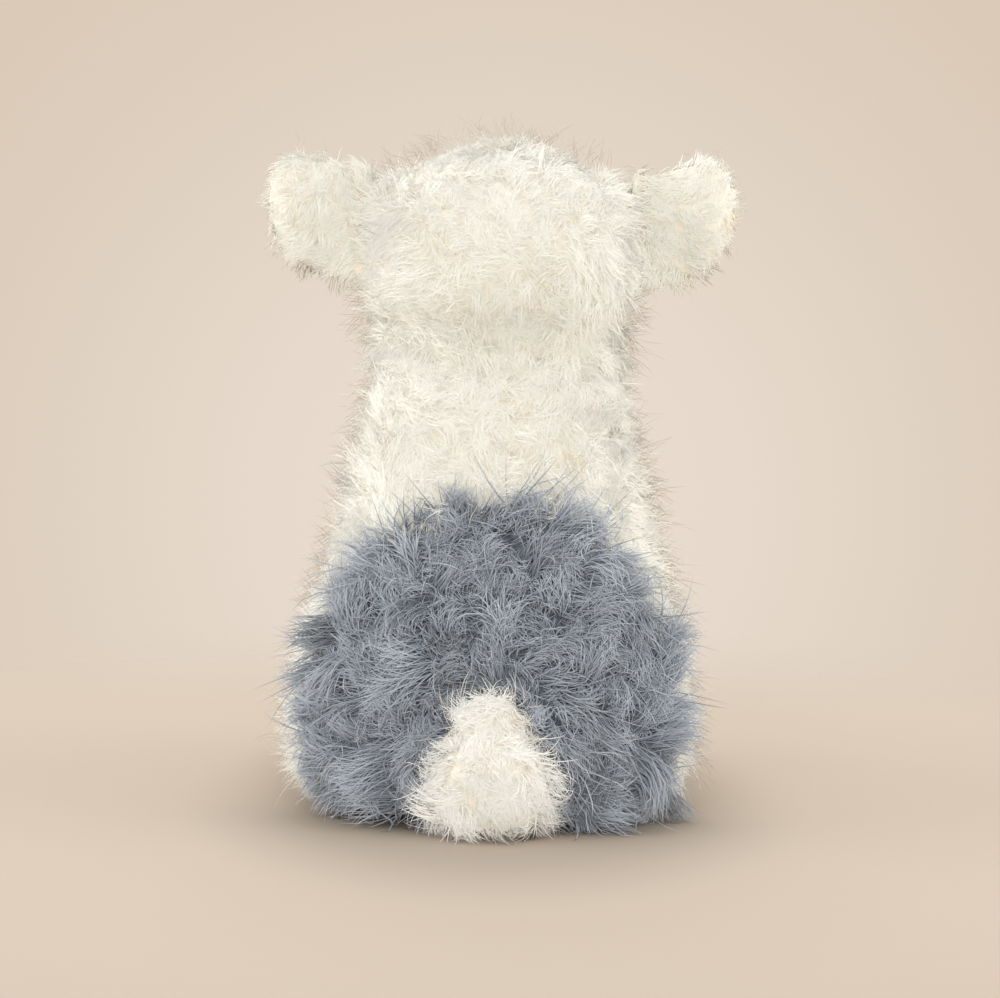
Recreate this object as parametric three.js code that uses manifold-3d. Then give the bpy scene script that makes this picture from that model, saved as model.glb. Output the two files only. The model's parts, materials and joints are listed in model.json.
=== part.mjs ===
// A shaggy plush dog, sitting on its rump with its hind legs stretched forward.
// Millimetres, +Z up, nose towards -Y, the dog's left side towards +X.
// The origin is the middle of the seat, on the surface that the toy sits on.
// Every coat is fur cloth with its pile pressed into one wall, so its outer faces are the full outline.

import * as THREE from 'three';
import { mergeVertices } from 'three/addons/utils/BufferGeometryUtils.js';
import Module from 'manifold-3d';

const wasm = await Module();
wasm.setup();

// Clearance between two pieces that are sewn or lie together
const seam = 0.3;

// Depth of the coats, cloth and pile together
const bodyCoat = 15;
const headCoat = 13;
const muzzleCoat = 9;
const legCoat = 9;
const tailCoat = 11;

// The cloth alone, where a limb's pile lies pressed flat against the torso
const clothThickness = 3;

// Head: a soft barrel that turns about the line through its middle, from ear to ear
const headHeight = 308;
const headForward = 14;
const headRadius = 79;
const headHalfWidth = 80;
const headFullness = 2.45;
const neckOpeningRadius = 26;

// Torso: how far under the head's middle it ends, and from the seat up to the neck
// its half widths, half depths and the middle's place behind the origin, each at a share of its height
const torsoBelowHead = 46;
const torso = {
  seat: { rise: 0, halfWidth: 105, halfDepth: 90, back: 6 },
  edge: { rise: 0.046, halfWidth: 114, halfDepth: 98, back: 6 },
  hip: { rise: 0.176, halfWidth: 118, halfDepth: 101, back: 5 },
  belly: { rise: 0.382, halfWidth: 110, halfDepth: 94, back: 2 },
  waist: { rise: 0.573, halfWidth: 96, halfDepth: 82, back: -2 },
  shoulder: { rise: 0.763, halfWidth: 84, halfDepth: 73, back: -5 },
  neck: { rise: 0.908, halfWidth: 73, halfDepth: 64, back: -8 },
  top: { rise: 1, halfWidth: 69, halfDepth: 59, back: -10 },
};
const torsoFullness = 2.3;
const bottomHem = 9;

// Seat: the flat cloth under the torso, and the bag of pellets that rests on it
const seatPanelHalfWidth = 76;
const seatPanelHalfDepth = 62;
const pelletBagHalfWidth = 58;
const pelletBagHalfDepth = 46;
const pelletBagHeight = 34;
const pelletBagTurn = 48;

// Rump coat: the arch of its outline, seen from behind, whose sides pull out towards the hips
// and whose shoulders pull in towards its top
const rumpFootHalfWidth = 108;
const rumpHipHalfWidth = 121;
const rumpHipHeight = 68;
const rumpSideHalfWidth = 92;
const rumpSideHeight = 143;
const rumpTopHeight = 181;
const rumpShoulderPull = 0.8;
const rumpTopPull = 0.4;

// Muzzle
const muzzleDrop = 14;
const muzzleMiddle = 64;
const muzzleHalfLength = 62;
const muzzleHalfWidth = 43;
const muzzleHalfHeight = 31;
const muzzleFullness = 2.5;

// Nose
const noseHalfWidth = 15;
const noseHalfHeight = 10;
const noseHalfDepth = 8;
const noseLift = 10;
const noseTurn = 83;
const noseTaper = 0.2;

// Eyes: their direction from the head's middle, the dome, and the washer that locks the shank inside
const eyeYaw = 23;
const eyePitch = 12;
const eyeRadius = 9;
const eyeDomeHeight = 6;
const eyeSink = 5;
const eyeShankRadius = 2.5;
const eyeWasherRadius = 10;
const eyeWasherThickness = 2;
const eyeShankSpare = 3;

// Ears: length out from the seam, half height and half thickness on the way
const earRootOut = 79;
const earRootRadius = 5;
const earRise = 34;
const ear = {
  root: { out: 0, halfHeight: 37, halfThickness: 5, lift: -8 },
  neck: { out: 9, halfHeight: 37, halfThickness: 5.5, lift: -7 },
  full: { out: 28, halfHeight: 37, halfThickness: 13, lift: -3 },
  bell: { out: 43, halfHeight: 34, halfThickness: 13, lift: 1 },
  tip: { out: 54, halfHeight: 24, halfThickness: 8, lift: 5 },
  end: { out: 59, halfHeight: 9, halfThickness: 3, lift: 7 },
};
const earFullness = 2.3;
const earLiningShare = 0.35;

// Front legs: shoulder, paw and girth
const shoulderOut = 50;
const shoulderForward = 76;
const shoulderBelowHead = 118;
const frontPawOut = 28;
const frontPawForward = 137;
const frontPawHeight = 26;
const shoulderRadius = 22;
const frontWaistRadius = 19.5;
const frontPawRadius = 23.5;

// Hind legs: hip, foot and girth
const hipOut = 85;
const hipForward = 88;
const hipHeight = 34;
const hindReach = 56;
const hipRadius = 30;
const hindWaistRadius = 27;
const footRadius = 32;
const soleInset = 5;
const soleEdge = 0.5;
const soleBevel = 1;
const soleThickness = 3;

// Tail: a tuft that hangs from its root and lies flat against the rump
const tailRootBack = 101;
const tailRootHeight = 60;
const tailTipBack = 110;
const tailTipHeight = 24;
const tailRootRadius = 20;
const tailWaistRadius = 30;
const tailTuftRadius = 39;
const tailFlatness = 0.68;

// Limbs: how far past its widest the root's ball goes on and how far before its widest the end's ball
// begins, in degrees, and where along the limb its waist lies
const rootTurn = 26;
const endTurn = 10;
const waistShare = 0.45;

// Opening through which each limb is filled, sewn shut against the body
const fillingHoleRadius = 5;

// Room between the surface and what doesn't bear on it
const floorGap = 0.5;

// How far an opening's cutter runs past what it opens
const cutterSpare = 1;

// Facets
const coarse = 10;
const medium = 14;
const fine = 24;
const torsoRings = 10;
const headRings = 10;
const muzzleRings = 10;
const hollowRings = 7;
const earRings = 9;
const noseRings = 8;
const bagRings = 6;
const domeSteps = 5;
const limbSteps = 4;
const fillingSteps = 3;
const archSteps = 8;

// Colours, roughness
const creamPile = { color: '#ebe6da', roughness: 0.95 };
const whitePile = { color: '#efece3', roughness: 0.95 };
const greyPile = { color: '#828891', roughness: 0.95 };
const shortPile = { color: '#e6dccb', roughness: 0.9 };
const seatCloth = { color: '#d8d2c4', roughness: 0.9 };
const fibreFilling = { color: '#f4f4f2', roughness: 1 };
const pelletCloth = { color: '#c9c4ba', roughness: 0.9 };
const glossBlack = { color: '#14110f', roughness: 0.12 };
const noseCloth = { color: '#1d1a1a', roughness: 0.45 };
const washerWhite = { color: '#e9e9e6', roughness: 0.5 };

// The dog's left side and its right side
const sides = [1, -1];

// Solids

function signedVolume(positions, indices) {
  let volume = 0;
  const a = new THREE.Vector3();
  const b = new THREE.Vector3();
  const c = new THREE.Vector3();
  for (let i = 0; i < indices.length; i += 3) {
    a.fromArray(positions, indices[i] * 3);
    b.fromArray(positions, indices[i + 1] * 3);
    c.fromArray(positions, indices[i + 2] * 3);
    volume += a.dot(b.cross(c)) / 6;
  }
  return volume;
}

function solidOf(geometry) {
  const bare = geometry.clone();
  bare.deleteAttribute('normal');
  bare.deleteAttribute('uv');
  const merged = mergeVertices(bare, 1e-3);
  const positions = merged.attributes.position.array;
  const corners = merged.index.array;
  const kept = [];
  for (let i = 0; i < corners.length; i += 3) {
    const [a, b, c] = [corners[i], corners[i + 1], corners[i + 2]];
    if (a !== b && b !== c && c !== a) kept.push(a, b, c);
  }
  if (signedVolume(positions, kept) < 0) kept.reverse();
  return new wasm.Manifold(new wasm.Mesh({
    numProp: 3,
    vertProperties: new Float32Array(positions),
    triVerts: new Uint32Array(kept),
  }));
}

// A closed skin through a stack of full ovals, each { x, y, z, halfWidth, halfDepth }, closed by flat ends
function loftOf(ovals, facets, fullness) {
  const positions = [];
  const indices = [];
  const rounded = (value) => Math.sign(value) * Math.abs(value) ** (2 / fullness);
  for (const oval of ovals) {
    for (let i = 0; i < facets; i += 1) {
      const angle = (i / facets) * 2 * Math.PI;
      positions.push(
        oval.x + oval.halfWidth * rounded(Math.cos(angle)),
        oval.y + oval.halfDepth * rounded(Math.sin(angle)),
        oval.z,
      );
    }
  }
  const lowPole = ovals.length * facets;
  const highPole = lowPole + 1;
  positions.push(ovals[0].x, ovals[0].y, ovals[0].z);
  positions.push(ovals.at(-1).x, ovals.at(-1).y, ovals.at(-1).z);
  for (let i = 0; i < facets; i += 1) {
    const next = (i + 1) % facets;
    indices.push(lowPole, next, i);
    indices.push(highPole, lowPole - facets + i, lowPole - facets + next);
    for (let ring = 0; ring < ovals.length - 1; ring += 1) {
      const low = ring * facets;
      const high = low + facets;
      indices.push(low + i, low + next, high + next);
      indices.push(low + i, high + next, high + i);
    }
  }
  const geometry = new THREE.BufferGeometry();
  geometry.setAttribute('position', new THREE.Float32BufferAttribute(positions, 3));
  geometry.setIndex(indices);
  return geometry;
}

// Values along a smooth line through named stations
function smoothStations(stations, names, count) {
  const spans = stations.length - 1;
  return Array.from({ length: count + 1 }, (_, step) => {
    const along = (step / count) * spans;
    const span = Math.min(Math.floor(along), spans - 1);
    const share = along - span;
    const near = (offset) => stations[THREE.MathUtils.clamp(span + offset, 0, spans)];
    const value = {};
    for (const name of names) {
      const [a, b, c, d] = [-1, 0, 1, 2].map((offset) => near(offset)[name]);
      const bend = (2 * a - 5 * b + 4 * c - d) * share ** 2 + (3 * b - a - 3 * c + d) * share ** 3;
      value[name] = b + ((c - a) * share + bend) / 2;
    }
    return value;
  });
}

// A ball whose facets all lie outside its radius, so that a faceted ball of that radius turns in it
function ballAt(centre, radius, facets) {
  return ballWithin(centre, radius / Math.cos(Math.PI / facets) ** 2, facets);
}

function ballWithin(centre, radius, facets) {
  const ball = new THREE.SphereGeometry(radius, facets, facets / 2);
  ball.translate(centre.x, centre.y, centre.z);
  return solidOf(ball);
}

// A revolved geometry, whose axis is Y, set with its axis along a direction and its zero at a place
function setAlong(geometry, place, direction) {
  const axis = new THREE.Vector3(0, 1, 0);
  geometry.applyQuaternion(new THREE.Quaternion().setFromUnitVectors(axis, direction.clone().normalize()));
  geometry.translate(place.x, place.y, place.z);
  return geometry;
}

// Outline of a stuffed limb: a ball at the root, a waist, and a rounder end
function limbOutline({ rootRadius, waistRadius, endRadius, reach, wall, steps }) {
  const root = rootRadius - wall;
  const end = endRadius - wall;
  const leave = THREE.MathUtils.degToRad(rootTurn);
  const meet = THREE.MathUtils.degToRad(endTurn);
  const points = [];
  for (let i = 0; i <= steps; i += 1) {
    const angle = THREE.MathUtils.lerp(-Math.PI / 2, leave, i / steps);
    points.push(new THREE.Vector2(root * Math.cos(angle), root * Math.sin(angle)));
  }
  points[0].x = 0;
  const start = points.at(-1);
  const waist = new THREE.Vector2(waistRadius - wall, reach * waistShare);
  const swell = new THREE.Vector2(end * Math.cos(meet), reach - end * Math.sin(meet));
  const body = new THREE.SplineCurve([start, waist, swell]).getPoints(steps);
  points.push(...body.slice(1));
  for (let i = 1; i <= steps; i += 1) {
    const angle = THREE.MathUtils.lerp(0, Math.PI / 2, i / steps);
    points.push(new THREE.Vector2(end * Math.cos(angle), reach + end * Math.sin(angle)));
  }
  points.at(-1).x = 0;
  return points;
}

// A limb's coat and filling, cut by what it lies against: cuts(grow) gives those solids, grown
function stuffedLimb({ root, end, rootRadius, waistRadius, endRadius, wall, flatness, cuts }) {
  const direction = end.clone().sub(root);
  const reach = direction.length();
  const shaped = (inset, facets, steps) => {
    const outline = limbOutline({ rootRadius, waistRadius, endRadius, reach, wall: inset, steps });
    const lathe = new THREE.LatheGeometry(outline, facets);
    const set = setAlong(lathe, new THREE.Vector3(), direction);
    set.scale(1, flatness, 1);
    set.translate(root.x, root.y, root.z);
    return solidOf(set);
  };
  const hole = new THREE.CylinderGeometry(fillingHoleRadius, fillingHoleRadius, 2 * rootRadius, coarse);
  hole.translate(0, -rootRadius, 0);
  const holeSolid = solidOf(setAlong(hole, root, direction));
  let coat = shaped(0, medium, limbSteps);
  let filling = shaped(wall + seam, coarse, fillingSteps);
  const hollow = shaped(wall, coarse, fillingSteps);
  for (const cut of cuts(seam)) coat = coat.subtract(cut);
  for (const cut of cuts(clothThickness + 2 * seam)) filling = filling.subtract(cut);
  coat = coat.subtract(hollow).subtract(holeSolid);
  return { coat, filling };
}

// Torso and seat

const torsoHeight = headHeight - torsoBelowHead;
const shoulderHeight = headHeight - shoulderBelowHead;

function torsoForm(inset, facets, rings) {
  const names = ['rise', 'halfWidth', 'halfDepth', 'back'];
  const ovals = smoothStations(Object.values(torso), names, rings).map((oval) => ({
    x: 0,
    y: oval.back,
    z: oval.rise * torsoHeight,
    halfWidth: oval.halfWidth - inset,
    halfDepth: oval.halfDepth - inset,
  }));
  return solidOf(loftOf(ovals, facets, torsoFullness));
}

function slab(low, high) {
  const reach = 4 * torso.hip.halfWidth;
  const box = new THREE.BoxGeometry(reach, reach, high - low);
  box.translate(0, 0, (low + high) / 2);
  return solidOf(box);
}

function ovalPlate(halfWidth, halfDepth, low, high, facets) {
  const plate = new THREE.CylinderGeometry(1, 1, high - low, facets);
  plate.rotateX(Math.PI / 2);
  plate.scale(halfWidth, halfDepth, 1);
  plate.translate(0, torso.seat.back, (low + high) / 2);
  return solidOf(plate);
}

const headMiddle = new THREE.Vector3(0, -headForward, headHeight);

// The head's barrel, revolved about the line from ear to ear
function headForm(inset, facets, steps) {
  const outline = [];
  for (let i = 0; i <= steps; i += 1) {
    const angle = THREE.MathUtils.lerp(-Math.PI / 2, Math.PI / 2, i / steps);
    const across = Math.abs(Math.sin(angle)) ** (2 / headFullness) * Math.sign(angle);
    const round = i % steps === 0 ? 0 : Math.cos(angle) ** (2 / headFullness);
    outline.push(new THREE.Vector2((headRadius - inset) * round, (headHalfWidth - inset) * across));
  }
  const lathe = new THREE.LatheGeometry(outline, facets);
  return solidOf(setAlong(lathe, headMiddle, new THREE.Vector3(1, 0, 0)));
}

// The cup for the head: as much wider as its facets need to clear the head at every angle
function headCup(grow) {
  const spare = headRadius / Math.cos(Math.PI / fine) - headRadius;
  return headForm(-grow - spare, fine, headRings);
}

const shoulderOf = (side) => new THREE.Vector3(side * shoulderOut, -shoulderForward, shoulderHeight);
const hipOf = (side) => new THREE.Vector3(side * hipOut, -hipForward, hipHeight);
const tailRoot = new THREE.Vector3(0, tailRootBack, tailRootHeight);

// The arch that parts the rump's coat from the torso's, drawn from its left foot over its top
function rumpPrism(grow) {
  const outline = new THREE.Shape();
  const foot = rumpFootHalfWidth + grow;
  const hip = rumpHipHalfWidth + grow;
  const side = rumpSideHalfWidth + grow;
  const top = rumpTopHeight + grow;
  const shoulder = rumpShoulderPull * side;
  const crown = rumpTopPull * side;
  outline.moveTo(-foot, -cutterSpare);
  outline.quadraticCurveTo(-hip, rumpHipHeight, -side, rumpSideHeight);
  outline.bezierCurveTo(-shoulder, top, -crown, top, 0, top);
  outline.bezierCurveTo(crown, top, shoulder, top, side, rumpSideHeight);
  outline.quadraticCurveTo(hip, rumpHipHeight, foot, -cutterSpare);
  const prism = new THREE.ExtrudeGeometry(outline, {
    depth: 2 * torso.hip.halfDepth,
    bevelEnabled: false,
    curveSegments: archSteps,
  });
  prism.rotateX(Math.PI / 2);
  prism.translate(0, 2 * torso.hip.halfDepth - grow, 0);
  return solidOf(prism);
}

const torsoSeats = (grow) => [
  headCup(grow),
  ...sides.map((side) => ballAt(shoulderOf(side), shoulderRadius + grow, medium)),
  ...sides.map((side) => ballAt(hipOf(side), hipRadius + grow, medium)),
  ballAt(tailRoot, tailRootRadius + grow, medium),
];

function seatedIn(solid, cutters) {
  return cutters.reduce((left, cutter) => left.subtract(cutter), solid);
}

const torsoHollow = torsoForm(bodyCoat, medium, hollowRings)
  .intersect(slab(bottomHem, torsoHeight))
  .subtract(headCup(bodyCoat));
const seatOpening = ovalPlate(
  seatPanelHalfWidth + seam,
  seatPanelHalfDepth + seam,
  -cutterSpare,
  bottomHem + cutterSpare,
  fine,
);
const torsoShell = seatedIn(torsoForm(0, fine, torsoRings), torsoSeats(seam))
  .subtract(torsoHollow)
  .subtract(seatOpening);
const torsoCoat = torsoShell.subtract(rumpPrism(seam));
const rumpCoat = torsoShell.intersect(rumpPrism(0));
const seatPanel = ovalPlate(seatPanelHalfWidth, seatPanelHalfDepth, 0, bottomHem, fine);

// A stack of ovals that swells to full width halfway up, as an ellipsoid does between two parallels
function swollenStack({ y, z, halfWidth, halfDepth, halfHeight, turn, taper, rings }) {
  const reach = THREE.MathUtils.degToRad(turn);
  return Array.from({ length: rings + 1 }, (_, ring) => {
    const angle = THREE.MathUtils.lerp(-reach, reach, ring / rings);
    return {
      x: 0,
      y,
      z: z + (halfHeight * Math.sin(angle)) / Math.sin(reach),
      halfWidth: halfWidth * Math.cos(angle) * (1 - taper + taper * Math.sin(angle)),
      halfDepth: halfDepth * Math.cos(angle),
    };
  });
}

function pelletBagForm(grow) {
  const ovals = swollenStack({
    y: torso.seat.back,
    z: bottomHem + seam + pelletBagHeight / 2,
    halfWidth: pelletBagHalfWidth + grow,
    halfDepth: pelletBagHalfDepth + grow,
    halfHeight: pelletBagHeight / 2 + grow,
    turn: pelletBagTurn,
    taper: 0,
    rings: bagRings,
  });
  return solidOf(loftOf(ovals, medium, 2));
}

const torsoFilling = seatedIn(
  torsoForm(bodyCoat + seam, medium, hollowRings)
    .intersect(slab(bottomHem + seam, torsoHeight))
    .subtract(headCup(bodyCoat + seam)),
  [...torsoSeats(seam).slice(1), pelletBagForm(seam)],
);

// Head, muzzle, nose and eyes

function eyeDirection(side) {
  const yaw = THREE.MathUtils.degToRad(eyeYaw);
  const pitch = THREE.MathUtils.degToRad(eyePitch);
  return new THREE.Vector3(
    side * Math.sin(yaw) * Math.cos(pitch),
    -Math.cos(yaw) * Math.cos(pitch),
    Math.sin(pitch),
  );
}

// Distance from the head's middle to its outside along a direction
function headReach(direction, inset) {
  const across = Math.abs(direction.x) / (headHalfWidth - inset);
  const round = Math.hypot(direction.y, direction.z) / (headRadius - inset);
  return (across ** headFullness + round ** headFullness) ** (-1 / headFullness);
}

function revolvedOnHead(outline, side, facets) {
  return solidOf(setAlong(new THREE.LatheGeometry(outline, facets), headMiddle, eyeDirection(side)));
}

// Radii and distances from the head's middle of an eye's dome, shank and washer
function eyePlaces(side) {
  const direction = eyeDirection(side);
  const skin = headReach(direction, 0);
  const inside = headReach(direction, headCoat);
  const back = skin - eyeSink;
  return { back, front: back + eyeDomeHeight, washer: inside - seam - eyeWasherThickness };
}

function eyeForm(side, grow) {
  const { back, front, washer } = eyePlaces(side);
  const foot = washer - eyeShankSpare;
  const outline = [
    new THREE.Vector2(0, foot - grow),
    new THREE.Vector2(eyeShankRadius + grow, foot - grow),
    new THREE.Vector2(eyeShankRadius + grow, back - grow),
    new THREE.Vector2(eyeRadius + grow, back - grow),
  ];
  for (let i = 1; i < domeSteps; i += 1) {
    const angle = (i / domeSteps) * (Math.PI / 2);
    outline.push(new THREE.Vector2(
      (eyeRadius + grow) * Math.cos(angle),
      back + (front - back + grow) * Math.sin(angle),
    ));
  }
  outline.push(new THREE.Vector2(0, front + grow));
  return revolvedOnHead(outline, side, medium);
}

// The pocket pressed into the coat by the eye's dome, open to the outside
function eyePocket(side) {
  const { back } = eyePlaces(side);
  const pocket = new THREE.CylinderGeometry(eyeRadius + seam, eyeRadius + seam, eyeRadius, medium);
  pocket.translate(0, back - seam + eyeRadius / 2, 0);
  return solidOf(setAlong(pocket, headMiddle, eyeDirection(side)));
}

function washerForm(side) {
  const { washer } = eyePlaces(side);
  const bore = eyeShankRadius + seam;
  const outline = [
    new THREE.Vector2(bore, washer),
    new THREE.Vector2(eyeWasherRadius, washer),
    new THREE.Vector2(eyeWasherRadius, washer + eyeWasherThickness),
    new THREE.Vector2(bore, washer + eyeWasherThickness),
    new THREE.Vector2(bore, washer),
  ];
  return revolvedOnHead(outline, side, medium);
}

// The room for a washer: pressed flat into the inside of the coat, and open to it through the filling
function washerRoom(side, depth) {
  const { washer } = eyePlaces(side);
  const room = new THREE.CylinderGeometry(eyeWasherRadius + seam, eyeWasherRadius + seam, depth, medium);
  room.translate(0, washer - seam + depth / 2, 0);
  return solidOf(setAlong(room, headMiddle, eyeDirection(side)));
}

const muzzleRoot = new THREE.Vector3(0, -headForward - muzzleMiddle, headHeight - muzzleDrop);

function muzzleForm(inset, facets, steps) {
  const outline = [];
  for (let i = 0; i <= steps; i += 1) {
    const angle = THREE.MathUtils.lerp(-Math.PI / 2, Math.PI / 2, i / steps);
    const along = Math.abs(Math.sin(angle)) ** (2 / muzzleFullness) * Math.sign(angle);
    const round = i % steps === 0 ? 0 : Math.cos(angle) ** (2 / muzzleFullness);
    outline.push(new THREE.Vector2(round, (muzzleHalfLength - inset) * along));
  }
  const forward = new THREE.Vector3(0, -1, 0);
  const lathe = setAlong(new THREE.LatheGeometry(outline, facets), new THREE.Vector3(), forward);
  lathe.scale(muzzleHalfWidth - inset, 1, muzzleHalfHeight - inset);
  lathe.translate(muzzleRoot.x, muzzleRoot.y, muzzleRoot.z);
  return solidOf(lathe);
}

// The nose sits on the front of the muzzle: a rounded wedge, wide above and narrow below
function noseForm(grow) {
  const ovals = swollenStack({
    y: muzzleRoot.y - muzzleHalfLength + noseHalfDepth / 2,
    z: muzzleRoot.z + noseLift,
    halfWidth: noseHalfWidth + grow,
    halfDepth: noseHalfDepth + grow,
    halfHeight: noseHalfHeight + grow,
    turn: noseTurn,
    taper: noseTaper,
    rings: noseRings,
  });
  return solidOf(loftOf(ovals, medium, 2));
}

// Ears: two layers that meet on the seam round the rim, thin at the root so that they fold there

const earRoot = (side) => new THREE.Vector3(side * earRootOut, -headForward, headHeight + earRise);

function earForm(side) {
  const names = ['out', 'halfHeight', 'halfThickness', 'lift'];
  const ovals = smoothStations(Object.values(ear), names, earRings).map((oval) => ({
    x: oval.lift,
    y: 0,
    z: oval.out,
    halfWidth: oval.halfHeight,
    halfDepth: oval.halfThickness,
  }));
  const loft = loftOf(ovals, medium, earFullness);
  loft.rotateY(Math.PI / 2);
  loft.scale(1, 1, -1);
  loft.scale(side, 1, 1);
  const place = earRoot(side);
  loft.translate(place.x, place.y, place.z);
  return solidOf(loft).add(solidOf(earHinge(side, 0)));
}

// The rolled seam at an ear's root, about which the ear folds
function earHinge(side, grow) {
  const { halfHeight, lift } = ear.root;
  const radius = grow > 0 ? (earRootRadius + grow) / Math.cos(Math.PI / medium) : earRootRadius;
  const roll = new THREE.CylinderGeometry(radius, radius, 2 * (halfHeight + grow), medium);
  roll.rotateX(Math.PI / 2);
  const place = earRoot(side);
  roll.translate(place.x, place.y, place.z + lift);
  return roll;
}

function earHalf(side, isBack) {
  const layer = 2 * ear.full.halfThickness;
  const split = ear.full.halfThickness * (2 * earLiningShare - 1);
  const reach = 4 * ear.full.halfHeight;
  const box = new THREE.BoxGeometry(reach, layer, reach);
  const shift = isBack ? split + (layer + seam) / 2 : split - (layer + seam) / 2;
  const place = earRoot(side);
  box.translate(place.x, place.y + shift, place.z);
  return solidOf(box);
}

// Fits of the head's own pieces

const earGrooves = sides.map((side) => solidOf(earHinge(side, seam)));
const neckBore = new THREE.CylinderGeometry(neckOpeningRadius, neckOpeningRadius, 2 * headRadius, medium);
neckBore.rotateX(Math.PI / 2);
neckBore.translate(headMiddle.x, headMiddle.y, headMiddle.z - headRadius);

const headCoatSolid = seatedIn(headForm(0, fine, headRings), [
  headForm(headCoat, medium, hollowRings),
  solidOf(neckBore),
  ...earGrooves,
  ...sides.map((side) => eyeForm(side, seam)),
  ...sides.map(eyePocket),
  ...sides.map((side) => washerRoom(side, eyeWasherThickness + 2 * seam)),
]);
const headFillingSolid = seatedIn(headForm(headCoat + seam, medium, hollowRings), [
  ...earGrooves,
  ...sides.map((side) => eyeForm(side, seam)),
  ...sides.map((side) => washerRoom(side, eyeWasherRadius)),
]);
const muzzleCoatSolid = seatedIn(muzzleForm(0, medium, muzzleRings), [
  muzzleForm(muzzleCoat, coarse, hollowRings),
  headForm(-seam, fine, headRings),
  noseForm(seam),
]);
const muzzleFillingSolid = seatedIn(muzzleForm(muzzleCoat + seam, coarse, hollowRings), [
  headForm(-seam, fine, headRings),
  noseForm(seam),
]);

// Legs and tail

// What a limb lies against: the torso, but for the ball in which the limb turns
function torsoBeside(root, rootRadius, grow) {
  return torsoForm(-grow, fine, torsoRings).subtract(ballWithin(root, rootRadius + seam / 2, fine));
}

function frontLeg(side) {
  const root = shoulderOf(side);
  return stuffedLimb({
    root,
    end: new THREE.Vector3(side * frontPawOut, -frontPawForward, frontPawHeight),
    rootRadius: shoulderRadius,
    waistRadius: frontWaistRadius,
    endRadius: frontPawRadius,
    wall: legCoat,
    flatness: 1,
    cuts: (grow) => [torsoBeside(root, shoulderRadius, grow)],
  });
}

// The foot ends in a flat face, and the sole is sewn on it
function hindLeg(side) {
  const root = hipOf(side);
  const end = new THREE.Vector3(root.x, root.y - hindReach, root.z);
  const flat = end.y - footRadius + soleInset;
  const front = new THREE.BoxGeometry(4 * footRadius, footRadius, 4 * footRadius);
  front.translate(end.x, flat - footRadius / 2, end.z);
  const limb = stuffedLimb({
    root,
    end,
    rootRadius: hipRadius,
    waistRadius: hindWaistRadius,
    endRadius: footRadius,
    wall: legCoat,
    flatness: 1,
    cuts: (grow) => [torsoBeside(root, hipRadius, grow)],
  });
  const soleRadius = Math.sqrt(footRadius ** 2 - (footRadius - soleInset) ** 2) - soleEdge;
  const sole = new THREE.CylinderGeometry(soleRadius, soleRadius - soleBevel, soleThickness, medium);
  sole.translate(end.x, flat - seam - soleThickness / 2, end.z);
  return { coat: limb.coat.subtract(solidOf(front)), filling: limb.filling, sole: solidOf(sole) };
}

function tailTuft() {
  return stuffedLimb({
    root: tailRoot,
    end: new THREE.Vector3(0, tailTipBack, tailTipHeight),
    rootRadius: tailRootRadius,
    waistRadius: tailWaistRadius,
    endRadius: tailTuftRadius,
    wall: tailCoat,
    flatness: tailFlatness,
    cuts: (grow) => [
      torsoBeside(tailRoot, tailRootRadius, grow),
      slab(-tailTuftRadius, floorGap + grow - seam),
    ],
  });
}

// Assembly: one group for each body, set at the point about which the body turns

const dog = new THREE.Group();
const torsoGroup = new THREE.Group();
const headGroup = new THREE.Group();
headGroup.position.copy(headMiddle);
dog.add(torsoGroup);
torsoGroup.add(headGroup);

function bodyGroup(parent, place) {
  const group = new THREE.Group();
  parent.add(group);
  parent.updateWorldMatrix(true, false);
  group.position.copy(parent.worldToLocal(place.clone()));
  return group;
}

function addPiece(group, name, solid, finish) {
  const { vertProperties, triVerts } = solid.getMesh();
  const geometry = new THREE.BufferGeometry();
  geometry.setAttribute('position', new THREE.BufferAttribute(new Float32Array(vertProperties), 3));
  geometry.setIndex(new THREE.BufferAttribute(new Uint32Array(triVerts), 1));
  group.updateWorldMatrix(true, false);
  geometry.applyMatrix4(group.matrixWorld.clone().invert());
  geometry.computeVertexNormals();
  const mesh = new THREE.Mesh(geometry, new THREE.MeshStandardMaterial({ ...finish, metalness: 0 }));
  mesh.name = name;
  group.add(mesh);
}

addPiece(torsoGroup, 'torso_coat', torsoCoat, creamPile);
addPiece(torsoGroup, 'rump_coat', rumpCoat, greyPile);
addPiece(torsoGroup, 'seat_panel', seatPanel, seatCloth);
addPiece(torsoGroup, 'torso_filling', torsoFilling, fibreFilling);
addPiece(torsoGroup, 'pellet_bag', pelletBagForm(0), pelletCloth);

addPiece(headGroup, 'head_coat', headCoatSolid, creamPile);
addPiece(headGroup, 'head_filling', headFillingSolid, fibreFilling);
addPiece(headGroup, 'muzzle_coat', muzzleCoatSolid, creamPile);
addPiece(headGroup, 'muzzle_filling', muzzleFillingSolid, fibreFilling);
addPiece(headGroup, 'nose', noseForm(0), noseCloth);

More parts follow.
